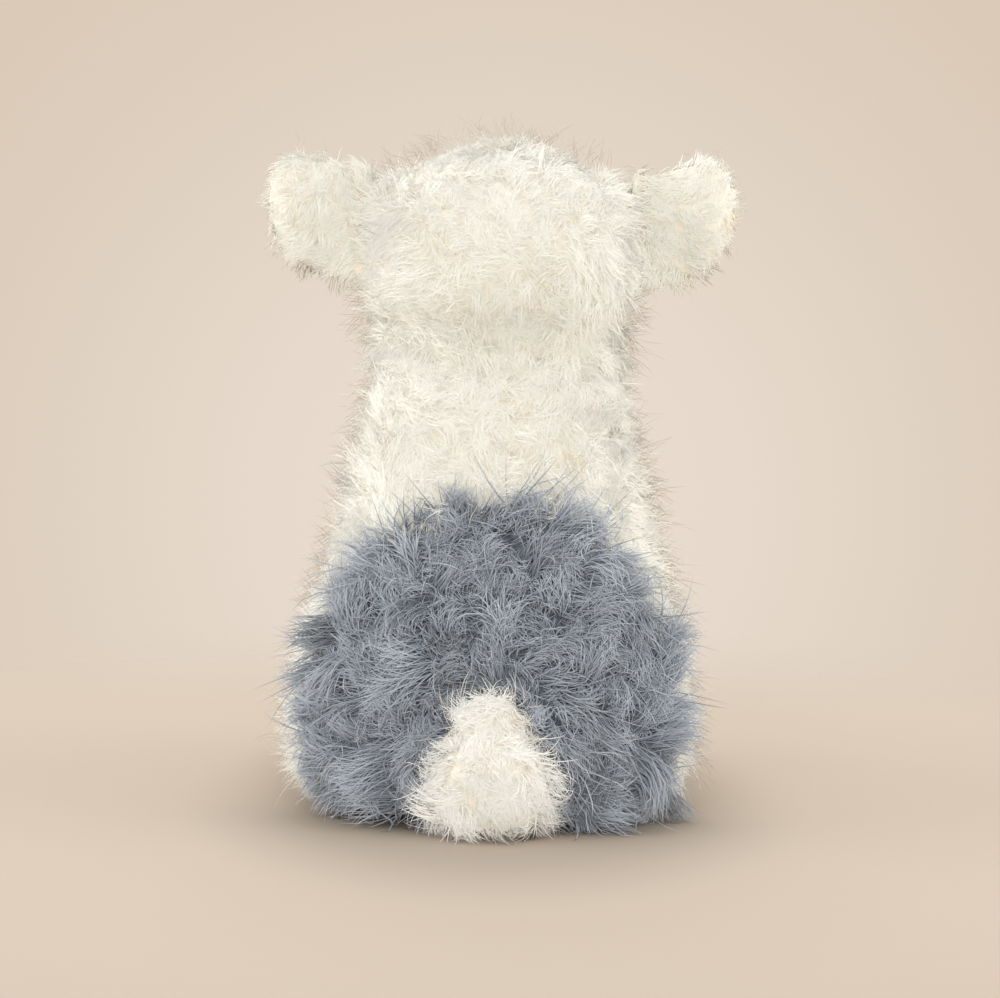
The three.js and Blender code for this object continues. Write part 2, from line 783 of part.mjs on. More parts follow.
for (const [word, side] of [['left', sides[0]], ['right', sides[1]]]) {
  addPiece(headGroup, `${word}_eye`, eyeForm(side, 0), glossBlack);
  addPiece(headGroup, `${word}_eye_washer`, washerForm(side), washerWhite);

  const earGroup = bodyGroup(headGroup, earRoot(side));
  addPiece(earGroup, `${word}_ear_back`, earForm(side).intersect(earHalf(side, true)), creamPile);
  addPiece(earGroup, `${word}_ear_lining`, earForm(side).intersect(earHalf(side, false)), shortPile);

  const frontGroup = bodyGroup(torsoGroup, shoulderOf(side));
  const front = frontLeg(side);
  addPiece(frontGroup, `${word}_front_leg_coat`, front.coat, creamPile);
  addPiece(frontGroup, `${word}_front_leg_filling`, front.filling, fibreFilling);

  const hindGroup = bodyGroup(torsoGroup, hipOf(side));
  const hind = hindLeg(side);
  addPiece(hindGroup, `${word}_hind_leg_coat`, hind.coat, creamPile);
  addPiece(hindGroup, `${word}_hind_leg_filling`, hind.filling, fibreFilling);
  addPiece(hindGroup, `${word}_sole`, hind.sole, shortPile);
}

const tailGroup = bodyGroup(torsoGroup, tailRoot);
const tail = tailTuft();
addPiece(tailGroup, 'tail_coat', tail.coat, whitePile);
addPiece(tailGroup, 'tail_filling', tail.filling, fibreFilling);

export default dog;
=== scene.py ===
"""A sitting plush sheepdog in long pile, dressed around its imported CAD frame.

The cream body, head, ears, legs and the white tail are stuffed covers, grown
over with separate tapered locks of pile, and the rump carries longer grey pile.
Lengths are in metres in the frame of the CAD model, with the face towards -Y.
"""

import json
import logging
import math
from dataclasses import dataclass, field, replace
from enum import Enum
from functools import cache
from typing import Callable, Sequence

import bpy
import numpy as np
from mathutils import Matrix, Vector
from mathutils.bvhtree import BVHTree
from mathutils.geometry import convex_hull_2d
from mathutils.kdtree import KDTree


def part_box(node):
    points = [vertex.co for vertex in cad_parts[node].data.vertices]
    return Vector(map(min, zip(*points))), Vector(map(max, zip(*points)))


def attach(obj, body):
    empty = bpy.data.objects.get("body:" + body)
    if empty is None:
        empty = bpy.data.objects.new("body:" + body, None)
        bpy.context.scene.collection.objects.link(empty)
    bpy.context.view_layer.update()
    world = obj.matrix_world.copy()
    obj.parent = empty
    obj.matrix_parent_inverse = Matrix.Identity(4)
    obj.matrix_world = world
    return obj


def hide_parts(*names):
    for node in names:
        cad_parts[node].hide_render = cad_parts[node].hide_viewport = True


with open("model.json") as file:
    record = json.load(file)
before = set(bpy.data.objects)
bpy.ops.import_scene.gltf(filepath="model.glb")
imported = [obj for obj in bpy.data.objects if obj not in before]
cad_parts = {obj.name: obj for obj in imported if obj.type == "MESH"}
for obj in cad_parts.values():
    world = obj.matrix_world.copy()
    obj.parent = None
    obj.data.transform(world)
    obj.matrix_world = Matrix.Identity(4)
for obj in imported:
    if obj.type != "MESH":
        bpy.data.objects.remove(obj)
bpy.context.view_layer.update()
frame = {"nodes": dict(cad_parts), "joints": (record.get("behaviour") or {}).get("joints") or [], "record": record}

LOG = logging.getLogger("sheepdog")
BAKE_MAP = "OFBake"
FLOOR_CLEARANCE = 0.0006
TOUCH = 1e-6
PIECE_TRIANGLES = 190_000
WAVE_TURN = 20.0  # the radians that a wave texture of scale 1 runs through in a metre

Colour = tuple[int, int, int]
Point = tuple[float, float, float]
Span = tuple[float, float]
FAR = math.inf
ANY: Span = (-FAR, FAR)


def linear(colour: Colour) -> tuple[float, float, float, float]:
    """Turns a display colour, from 0 to 255, into the linear one with opacity that a shader takes."""
    shares = (part / 255 for part in colour)
    return (*(s / 12.92 if s <= 0.04045 else ((s + 0.055) / 1.055) ** 2.4 for s in shares), 1.0)


# Shader maths


class Wave:
    """A shader socket that takes part in sums, so that maths reads as an expression."""

    def __init__(self, board: "Board", socket: bpy.types.NodeSocket) -> None:
        """Holds the output that gives a value, and the board on which new nodes are put."""
        self.board = board
        self.socket = socket

    def _joined(self, operation: str, first: "Wave | float", second: "Wave | float") -> "Wave":
        """Joins two terms by one Math node."""
        return self.board.node("ShaderNodeMath", {"operation": operation}, {0: first, 1: second})

    def __add__(self, other: "Wave | float") -> "Wave":
        """Gives self + other."""
        return self._joined("ADD", self, other)

    def __radd__(self, other: float) -> "Wave":
        """Gives other + self."""
        return self._joined("ADD", other, self)

    def __sub__(self, other: "Wave | float") -> "Wave":
        """Gives self - other."""
        return self._joined("SUBTRACT", self, other)

    def __rsub__(self, other: float) -> "Wave":
        """Gives other - self."""
        return self._joined("SUBTRACT", other, self)

    def __mul__(self, other: "Wave | float") -> "Wave":
        """Gives self * other."""
        return self._joined("MULTIPLY", self, other)

    def __rmul__(self, other: float) -> "Wave":
        """Gives other * self."""
        return self._joined("MULTIPLY", other, self)


class Board:
    """The nodes of one material or world."""

    def __init__(self, owner: bpy.types.Material | bpy.types.World) -> None:
        """Clears the owner's nodes.

        Args:
            owner: The material or world whose nodes are made.
        """
        owner.use_nodes = True
        self.tree = owner.node_tree
        self.tree.nodes.clear()

    def node(
        self,
        kind: str,
        settings: dict | None = None,
        sockets: dict | None = None,
        output: int | str = 0,
    ) -> Wave:
        """Adds one node.

        Args:
            kind: The node's type.
            settings: Its settings, with a ramp's stops as "stops".
            sockets: Its inputs by name or place, each a number, a colour or a Wave.
            output: The output to give back.

        Returns:
            The chosen output.
        """
        made = self.tree.nodes.new(kind)
        for key, value in (settings or {}).items():
            if key == "stops":
                self._set_stops(made.color_ramp, value)
            else:
                setattr(made, key, value)
        for key, value in (sockets or {}).items():
            if isinstance(value, Wave):
                self.tree.links.new(value.socket, made.inputs[key])
            else:
                made.inputs[key].default_value = value
        return Wave(self, made.outputs[output] if made.outputs else None)

    @staticmethod
    def _set_stops(ramp: bpy.types.ColorRamp, stops: Sequence[tuple[float, Colour]]) -> None:
        """Puts a ramp's stops in place.

        Args:
            ramp: The ramp.
            stops: Places from 0 to 1, each with its colour.
        """
        while len(ramp.elements) < len(stops):
            ramp.elements.new(0.5)
        for element, (place, colour) in zip(ramp.elements, stops):
            element.position = place
            element.color = linear(colour)

    def ramp(self, value: Wave, stops: Sequence[tuple[float, Colour]]) -> Wave:
        """Gives the colour that a ramp has at a value."""
        return self.node("ShaderNodeValToRGB", {"stops": stops}, {0: value})

    def mixed(
        self,
        share: Wave | float,
        first: Wave | tuple,
        second: Wave | tuple,
        blend: str = "MIX",
    ) -> Wave:
        """Mixes two colours, by the share of the second that shows."""
        settings = {"data_type": "RGBA", "blend_type": blend, "clamp_factor": True}
        return self.node("ShaderNodeMix", settings, {0: share, 6: first, 7: second}, 2)

    def noise(self, vector: Wave, scale: float, detail: float = 2.0, roughness: float = 0.5) -> Wave:
        """Gives a noise value from 0 to 1 at a place."""
        inputs = {"Vector": vector, "Scale": scale, "Detail": detail, "Roughness": roughness}
        return self.node("ShaderNodeTexNoise", None, inputs)

    def stretched(self, vector: Wave, scale: Point) -> Wave:
        """Gives a place with its axes stretched."""
        return self.node("ShaderNodeMapping", None, {"Vector": vector, "Scale": scale})

    def object_place(self) -> Wave:
        """Gives the place on the object."""
        return self.node("ShaderNodeTexCoord", None, None, "Object")

    def length(self, vector: Wave) -> Wave:
        """Gives a vector's length."""
        return self.node("ShaderNodeVectorMath", {"operation": "LENGTH"}, {0: vector}, "Value")

    def eased(self, value: Wave, low: float, high: float) -> Wave:
        """Gives 0 below low and 1 above high, with an eased step between them."""
        ends = {"Value": value, "From Min": low, "From Max": high, "To Min": 0.0, "To Max": 1.0}
        return self.node("ShaderNodeMapRange", {"interpolation_type": "SMOOTHSTEP"}, ends)

    def bumped(self, height: Wave, strength: float, distance: float) -> Wave:
        """Gives a normal from a height."""
        inputs = {"Height": height, "Strength": strength, "Distance": distance}
        return self.node("ShaderNodeBump", None, inputs)

    def show(self, surface: Wave, kind: str = "ShaderNodeOutputMaterial") -> None:
        """Ends the nodes in an output."""
        self.node(kind, None, {"Surface": surface})


def surface_of(
    board: Board,
    colour: Wave | tuple,
    roughness: Wave | float,
    **sockets: Wave | float | tuple,
) -> Wave:
    """Adds the main surface shader.

    Args:
        board: The node board.
        colour: The base colour.
        roughness: The roughness.
        sockets: Other inputs, with underscores for the spaces in their names.

    Returns:
        The shader.
    """
    inputs = {"Base Color": colour, "Roughness": roughness}
    inputs.update((key.replace("_", " "), value) for key, value in sockets.items())
    return board.node("ShaderNodeBsdfPrincipled", None, inputs)


# Finishes


class Slot(Enum):
    """The record's material slots, which the covers and pile finishes carry."""

    CREAM = "cream_pile"
    WHITE = "white_pile"
    GREY = "grey_pile"
    SHORT = "short_pile"
    CLOTH = "seat_cloth"
    NOSE = "nose_cloth"
    EYE = "eye_plastic"


@dataclass(frozen=True)
class Finish:
    """The look of a material.

    Attributes:
        name: The material's name.
    """

    name: str

    def surface(self, board: Board) -> Wave:
        """Makes the shader, which each kind of finish does in its own way."""
        raise NotImplementedError

    def material(self) -> bpy.types.Material:
        """Makes the finish's material.

        Returns:
            The new material.
        """
        made = bpy.data.materials.new(self.name)
        board = Board(made)
        board.show(self.surface(board))
        return made


@dataclass(frozen=True)
class PileFinish(Finish):
    """Locks of pile, darker where they leave the cloth and pale at their tips: partly the pile's own colour,
    partly painted shade deep in the pile.

    The colour reads only the pile's own map, whose U runs along a lock and whose
    V is that lock's tone, so every lock of one tone shares a strip of the map.

    Attributes:
        slot: The record's slot that it stands for; not used.
        root: The colour where a lock leaves the cloth, darkened in part as painted shade deep in the pile.
        middle: The colour further up, from the place given by `shaded`.
        tip: The colour at the tip.
        fleck: The colour of the few discoloured locks.
        contrast: How far the tones lie apart.
        fleck_share: The share of the tones that are discoloured.
        pale: Whether light passes through, so that the locks throw no shadow.
        softness: How far a strand is shaded as the cover that it stands on.
        roughness: The roughness.
        sheen: The weight of the soft shine at grazing angles.
        glow: That shine's colour.
        shaded: How far up a lock its darker foot, in part painted shade, reaches.
    """

    slot: Slot
    root: Colour
    middle: Colour
    tip: Colour
    fleck: Colour
    contrast: float
    fleck_share: float
    pale: bool = True
    softness: float = 0.72
    roughness: float = 0.75
    sheen: float = 0.25
    glow: Colour = (255, 238, 212)
    shaded: float = 0.45

    def surface(self, board: Board) -> Wave:
        """Makes the pile's shader.

        Args:
            board: The material's node board.

        Returns:
            The shader.
        """
        place = board.node("ShaderNodeUVMap", {"uv_map": BAKE_MAP})
        along = board.node("ShaderNodeSeparateXYZ", None, {0: place}, 0)
        tone = board.node("ShaderNodeSeparateXYZ", None, {0: place}, 1)
        # The darker foot of each lock is in part painted shade deep in the pile.
        colour = board.ramp(along, [(0.0, self.root), (self.shaded, self.middle), (1.0, self.tip)])
        bright = 1 + (tone - 0.5) * self.contrast
        lit = board.node("ShaderNodeCombineXYZ", None, {0: bright, 1: bright, 2: bright})
        colour = board.mixed(1.0, colour, lit, "MULTIPLY")
        ochre = 1 - board.eased(tone, self.fleck_share * 0.5, self.fleck_share)
        colour = board.mixed(ochre * (1 - 0.6 * along), colour, linear(self.fleck))
        sheen = {"Sheen_Weight": self.sheen, "Sheen_Roughness": 0.5, "Sheen_Tint": linear(self.glow)}
        return surface_of(board, colour, self.roughness, Specular_IOR_Level=0.2, **sheen)


@dataclass(frozen=True)
class UnderpileFinish(Finish):
    """The dense short fibre between the locks, close to the cloth.

    Attributes:
        dark: The colour in the hollows between the fibres and in darker patches, in part painted shade of those
            hollows and of the gaps between the locks.
        pale: The colour of the fibres.
        grain: The scale of the fibres' noise.
        patch: The scale of the noise that makes slow patches.
    """

    dark: Colour
    pale: Colour
    grain: float = 900.0
    patch: float = 60.0

    def surface(self, board: Board) -> Wave:
        """Makes the fibre's shader.

        Args:
            board: The material's node board.

        Returns:
            The shader.
        """
        place = board.object_place()
        fibre = board.noise(board.stretched(place, (1.0, 1.0, 0.3)), self.grain, 3.0, 0.6)
        patches = board.noise(place, self.patch, 2.0)
        share = fibre * 0.6 + patches * 0.4
        # In part painted shade: the darker colour falls where the fibre's bump is low, and sets the tone of the
        # gaps between the locks.
        colour = board.ramp(share, [(0.3, self.dark), (0.7, self.pale)])
        normal = board.bumped(fibre, 0.6, 0.001)
        dull = {"Sheen_Weight": 0.3, "Specular_IOR_Level": 0.1}
        return surface_of(board, colour, 0.95, Normal=normal, **dull)


@dataclass(frozen=True)
class ClothFinish(Finish):
    """Short woven or brushed cloth with its weave in relief.

    Attributes:
        dark: The colour between the threads and where the cloth is worn.
        pale: The colour on the threads.
        weave: How fine the weave is, in radians of its wave for each metre.
        roughness: The roughness.
        sheen: The weight of the soft shine at grazing angles.
    """

    dark: Colour
    pale: Colour
    weave: float = 1400.0
    roughness: float = 0.9
    sheen: float = 0.4

    def surface(self, board: Board) -> Wave:
        """Makes the cloth's shader.

        Args:
            board: The material's node board.

        Returns:
            The shader.
        """
        place = board.object_place()
        inputs = {"Vector": place, "Scale": self.weave / WAVE_TURN, "Distortion": 1.5, "Detail": 1.0}
        warp, weft = (
            board.node("ShaderNodeTexWave", {"wave_type": "BANDS", "bands_direction": axis}, inputs, 1)
            for axis in ("X", "Z")
        )
        weave = warp * weft
        wear = board.noise(place, 90.0, 3.0)
        colour = board.ramp(weave * 0.5 + wear * 0.5, [(0.2, self.dark), (0.75, self.pale)])
        normal = board.bumped(weave, 0.5, 0.0004)
        return surface_of(board, colour, self.roughness, Normal=normal, Sheen_Weight=self.sheen)


@dataclass(frozen=True)
class GlossFinish(Finish):
    """Moulded plastic with faint handling marks.

    Attributes:
        dark: The plastic's darker colour.
        pale: Its paler colour, where it is smeared.
        roughness: The roughness where it is clean.
    """

    dark: Colour
    pale: Colour
    roughness: float = 0.08

    def surface(self, board: Board) -> Wave:
        """Makes the plastic's shader.

        Args:
            board: The material's node board.

        Returns:
            The shader.
        """
        place = board.object_place()
        smear = board.noise(place, 350.0, 4.0)
        colour = board.ramp(smear, [(0.35, self.dark), (0.75, self.pale)])
        roughness = self.roughness + smear * 0.12
        return surface_of(board, colour, roughness, Coat_Weight=0.6, Coat_Roughness=0.04)


# Covers


@dataclass(frozen=True)
class Shallow:
    """A round place where a cover is drawn in less.

    Attributes:
        middle: Its middle.
        radius: How far it reaches.
        share: The share of the depth that is left in its middle.
    """

    middle: Point
    radius: float
    share: float


@dataclass
class Cover:
    """A stuffed cover: the fused solids of a body, drawn in by the depth of its pile.

    Attributes:
        name: The piece's name.
        body: The body that it moves with.
        nodes: The CAD nodes that it is made from and stands for.
        slot: The record's slot for its finish; not used.
        depth: How far it is drawn in.
        voxel: The size of the voxels that fuse the solids.
        fill: How firmly it is filled, from 0 to 1; not used.
        lump: The height of the lumps of its filling.
        lump_size: Their size.
        shallow: Where it is drawn in less.
        ahead: How far ahead a neighbour is looked for.
        touching: The gap up to which the cover isn't drawn in at all.
        easing: How much wider the gap is where it is drawn in fully.
        towards: How squarely it has to face a neighbour for that, as a cosine.
        obj: The Blender object, once it is built.
    """

    name: str
    body: str
    nodes: tuple[str, ...]
    slot: Slot
    depth: float
    voxel: float = 0.004
    fill: float = 0.7
    lump: float = 0.0016
    lump_size: float = 0.03
    shallow: tuple[Shallow, ...] = ()
    ahead: float = 0.02
    touching: float = 0.003
    easing: float = 0.017
    towards: float = 0.2
    obj: bpy.types.Object = field(default=None, repr=False)

    def build(self) -> None:
        """Models the cover from its CAD solids."""
        bpy.ops.object.select_all(action="DESELECT")
        for node in self.nodes:
            copy = bpy.data.objects.new(self.name, frame["nodes"][node].data.copy())
            bpy.context.collection.objects.link(copy)
            copy.select_set(True)
            bpy.context.view_layer.objects.active = copy
        if len(self.nodes) > 1:
            bpy.ops.object.join()
        self.obj = bpy.context.view_layer.objects.active
        self.obj.name = self.name
        self.obj.data.name = self.name
        self.obj.data.materials.clear()
        bpy.ops.object.mode_set(mode="EDIT")
        bpy.ops.mesh.select_all(action="SELECT")
        bpy.ops.mesh.remove_doubles(threshold=1e-5)
        bpy.ops.object.mode_set(mode="OBJECT")
        finish_with(self.obj, "REMESH", mode="VOXEL", voxel_size=self.voxel)
        self._keep_outer_shell()
        self._weigh()
        finish_with(self.obj, "DISPLACE", strength=-self.depth, mid_level=0.0, vertex_group="pile")
        finish_with(self.obj, "SMOOTH", factor=0.5, iterations=6)
        if self.lump:
            clouds = bpy.data.textures.new(self.name + "_stuffing", "CLOUDS")
            clouds.noise_scale = self.lump_size
            stuffed = {"strength": self.lump * 2, "texture": clouds, "texture_coords": "LOCAL"}
            finish_with(self.obj, "DISPLACE", vertex_group="pile", **stuffed)
        self.obj.vertex_groups.clear()
        bpy.ops.object.shade_smooth()
        lift_off_floor(self.obj)

    def _keep_outer_shell(self) -> None:
        """Takes away the closed shells that are left inside the fused one."""
        bpy.ops.object.mode_set(mode="EDIT")
        bpy.ops.mesh.select_all(action="SELECT")
        bpy.ops.mesh.separate(type="LOOSE")
        bpy.ops.object.mode_set(mode="OBJECT")
        shells = sorted(bpy.context.selected_objects, key=lambda shell: max(shell.dimensions))
        self.obj = shells.pop()
        for shell in shells:
            bpy.data.objects.remove(shell)
        self.obj.name = self.name
        select_only(self.obj)

    def _weigh(self) -> None:
        """Weighs how far the cover is drawn in: less where it faces a neighbour and in shallow places."""
        points, normals = points_of(self.obj)
        weights = np.ones(len(points))
        for tree in neighbour_trees(self.body):
            for index, (point, normal) in enumerate(zip(points, normals)):
                gap, facing = facing_of(tree, Vector(point), Vector(normal), self.ahead)
                if facing > self.towards:
                    weights[index] = min(weights[index], max(0.0, (gap - self.touching) / self.easing))
        for spot in self.shallow:
            reach = np.linalg.norm(points - np.array(spot.middle), axis=1)
            near = np.clip(reach / spot.radius, 0, 1)
            share = spot.share + (1 - spot.share) * near * near * (3 - 2 * near)
            weights = np.minimum(weights, share)
        group = self.obj.vertex_groups.new(name="pile")
        for index, weight in enumerate(weights):
            group.add([index], float(weight), "REPLACE")

    def dress(self, finish: Finish) -> None:
        """Gives the cover the finish of the cloth between its locks, attaches it to its body and hides the CAD
        nodes that it stands for.
        """
        place_piece(self.obj, self.body, finish.material(), self.nodes)


def select_only(obj: bpy.types.Object) -> None:
    """Selects one object and makes it active.

    Args:
        obj: The object.
    """
    bpy.ops.object.select_all(action="DESELECT")
    obj.select_set(True)
    bpy.context.view_layer.objects.active = obj


def finish_with(obj: bpy.types.Object, kind: str, **settings: object) -> None:
    """Adds a modifier to an object and applies it.

    Args:
        obj: The object.
        kind: The modifier's type.
        settings: The modifier's settings.
    """
    bpy.context.view_layer.objects.active = obj
    modifier = obj.modifiers.new(kind.lower(), kind)
    for key, value in settings.items():
        setattr(modifier, key, value)
    bpy.ops.object.modifier_apply(modifier=modifier.name)


def lift_off_floor(obj: bpy.types.Object) -> None:
    """Keeps an object a little above the floor."""
    for vertex in obj.data.vertices:
        vertex.co.z = max(vertex.co.z, FLOOR_CLEARANCE)


def place_piece(
    obj: bpy.types.Object,
    body: str,
    material: bpy.types.Material,
    nodes: Sequence[str] = (),
) -> None:
    """Gives a finished piece its material and body, and hides the CAD nodes it stands for.

    Args:
        obj: The piece.
        body: The body it moves with.
        material: Its material.
        nodes: The CAD nodes it stands for.
    """
    obj.data.materials.clear()
    obj.data.materials.append(material)
    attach(obj, body)
    if nodes:
        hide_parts(*nodes)


def points_of(obj: bpy.types.Object) -> tuple[np.ndarray, np.ndarray]:
    """Reads an object's points.

    Args:
        obj: The object.

    Returns:
        The points and their normals.
    """
    count = len(obj.data.vertices)
    points, normals = np.empty(count * 3), np.empty(count * 3)
    obj.data.vertices.foreach_get("co", points)
    obj.data.vertices.foreach_get("normal", normals)
    return points.reshape(-1, 3), normals.reshape(-1, 3)


def tree_of(mesh: bpy.types.Mesh) -> BVHTree:
    """Makes a search tree of a mesh."""
    corners = [vertex.co for vertex in mesh.vertices]
    return BVHTree.FromPolygons(corners, [face.vertices for face in mesh.polygons])


def facing_of(tree: BVHTree, point: Vector, normal: Vector, ahead: float) -> tuple[float, float]:
    """Tells how a place of a cover faces a neighbour.

    Args:
        tree: The neighbour's search tree.
        point: The place.
        normal: The cover's normal there.
        ahead: How far ahead the neighbour is looked for.

    Returns:
        The gap, and the cosine between the normal and the way to the neighbour: 1 where
        they touch, and -1 where there is no neighbour so near.
    """
    near, _, _, gap = tree.find_nearest(point, ahead)
    if near is None:
        return ahead, -1.0
    return gap, (near - point).normalized().dot(normal) if gap > TOUCH else 1.0


@cache
def neighbour_trees(body: str) -> list[BVHTree]:
    """Makes a search tree of each other body's outer solids, once.

    Args:
        body: The body whose neighbours are wanted.

    Returns:
        One tree for each coat that belongs to another body.
    """
    others = [
        name
        for owner, names in frame["record"]["behaviour"]["bodies"].items()
        if owner != body
        for name in names
        if name.endswith(("_coat", "_ear_back", "_ear_lining"))
    ]
    return [tree_of(frame["nodes"][name].data) for name in others]


# Pile

LOCK_LENGTHS = (0.7, 1.15)  # a lock's share of its cut's length, least and most
WILD_TURN = 4.0  # how much further a wild strand turns out of its lock
WILD_LEAN = (0.2, 1.0)  # the share of the lean that it keeps
STRAND_LEAN = 7.0  # how far strands lean out of their lock, in degrees
STRAND_CURL = 0.35  # how far their curl differs from its curl
STRAND_GATHER = (0.6, 1.0)  # the share of the cut's gathering that each follows
STRAND_WIDTHS = (0.7, 1.3)  # its share of the cut's width
GATHER_POWER = 1.4  # how late along a lock its strands draw together
MOST_TILT = 88.0  # the steepest lean that bending gives, in degrees
COMB_CHANCE = 0.02  # how far a lock's aim strays, so that it is never zero
TAPER = (1.25, 0.6)  # a strand's width over its cut's: the first, times what is left of it to the second
TIP_SHADE = 1.2  # what the weights of cover and heading in a tip's shading add up to
ROOT_DEPTH = 0.0012  # how deep a root stands in its cover
MAP_ENDS = (0.02, 0.98)  # the places of root and tip on the map's U axis
MAP_STRIP = 0.006  # how wide a strand's strip of the map is
TONE_ROWS = 48  # the tones that the map holds
TONE_ENDS = (0.02, 0.97)  # the lowest and the highest
PATCH_TONE = 0.10  # how far slow patches of a pile differ in tone
PATCH_SIZE = 0.03  # the size of those patches
LOCK_TONE = 0.14  # how far locks differ
STRAND_TONE = 0.10  # how far the strands of a lock differ


@dataclass(frozen=True)
class Comb:
    """Which way a pile lies over its cloth.

    Attributes:
        pole: The place that the locks lie away from.
        away: How much they do so.
        along: A set direction that they lie along too, with its weight as its length.
        swirl: How far they turn in slow swirls, in degrees.
        swirl_size: The size of the swirls.
        lock_turn: How far each lock turns by its own chance, in degrees.
        strand_turn: How far each strand turns in its lock, in degrees.
    """

    pole: Point = (0.0, 0.0, 0.0)
    away: float = 0.0
    along: Point = (0.0, 0.0, 0.0)
    swirl: float = 60.0
    swirl_size: float = 0.05
    lock_turn: float = 35.0
    strand_turn: float = 12.0

    def directions(
        self, points: np.ndarray, normals: np.ndarray, chance: np.random.Generator
    ) -> np.ndarray:
        """Gives each lock's direction along the cloth.

        Args:
            points: Where the locks stand.
            normals: The cloth's normals there.
            chance: The seeded draws.

        Returns:
            Unit directions in the plane of the cloth.
        """
        outward = points - np.array(self.pole)
        outward /= np.linalg.norm(outward, axis=1, keepdims=True) + 1e-9
        aim = self.away * outward + np.array(self.along) + chance.normal(0, COMB_CHANCE, points.shape)
        aim = unit(aim - (aim * normals).sum(1, keepdims=True) * normals)
        turn = np.radians(self.swirl) * slow_noise(points, self.swirl_size, chance)
        turn += np.radians(self.lock_turn) * chance.normal(0, 1, len(points))
        return turned(aim, normals, turn)


@dataclass(frozen=True)
class Cut:
    """The cut of one pile: how dense, long, thick and unruly its locks are.

    Attributes:
        density: Strands on a square metre.
        length: The shortest and the longest usual strand.
        lean: The lowest and highest angle from the cloth's normal at the root.
        width: A strand's widest diameter.
        rings: The rings of points along a strand.
        bend: How far a strand bends over, in degrees, by its tip.
        curl: How far a strand turns sideways, in degrees, by its tip.
        spacing: The distance between locks.
        gather: How far a lock's strands draw together at their tips.
        wild: The share of strands that stand clear of their lock.
        wild_reach: How much longer those are.
        droop: How far the longest tips sink under their own weight.
    """

    density: float
    length: tuple[float, float]
    lean: tuple[float, float]
    width: float = 0.0006
    rings: int = 2
    bend: float = 30.0
    curl: float = 60.0
    spacing: float = 0.008
    gather: float = 0.4
    wild: float = 0.05
    wild_reach: float = 1.2
    droop: float = 0.002


def unit(vectors: np.ndarray) -> np.ndarray:
    """Gives vectors the length 1."""
    return vectors / (np.linalg.norm(vectors, axis=-1, keepdims=True) + 1e-12)


def turned(vectors: np.ndarray, axes: np.ndarray, angles: np.ndarray) -> np.ndarray:
    """Turns vectors that are square to their axes."""
    return vectors * np.cos(angles)[:, None] + np.cross(axes, vectors) * np.sin(angles)[:, None]


def slow_noise(points: np.ndarray, size: float, chance: np.random.Generator) -> np.ndarray:
    """Gives a smooth random value, mostly from -1 to 1, at each point.

    Args:
        points: The points.
        size: About how far apart its hills are.
        chance: The seeded draws.

    Returns:
        One value for each point.
    """
    total = np.zeros(len(points))
    waves = 7
    for _ in range(waves):
        direction = unit(chance.normal(0, 1, 3)) * (2 * math.pi / size) * chance.uniform(0.5, 1.2)
        total += np.sin(points @ direction + chance.uniform(0, 2 * math.pi))
    return total / math.sqrt(waves / 2)


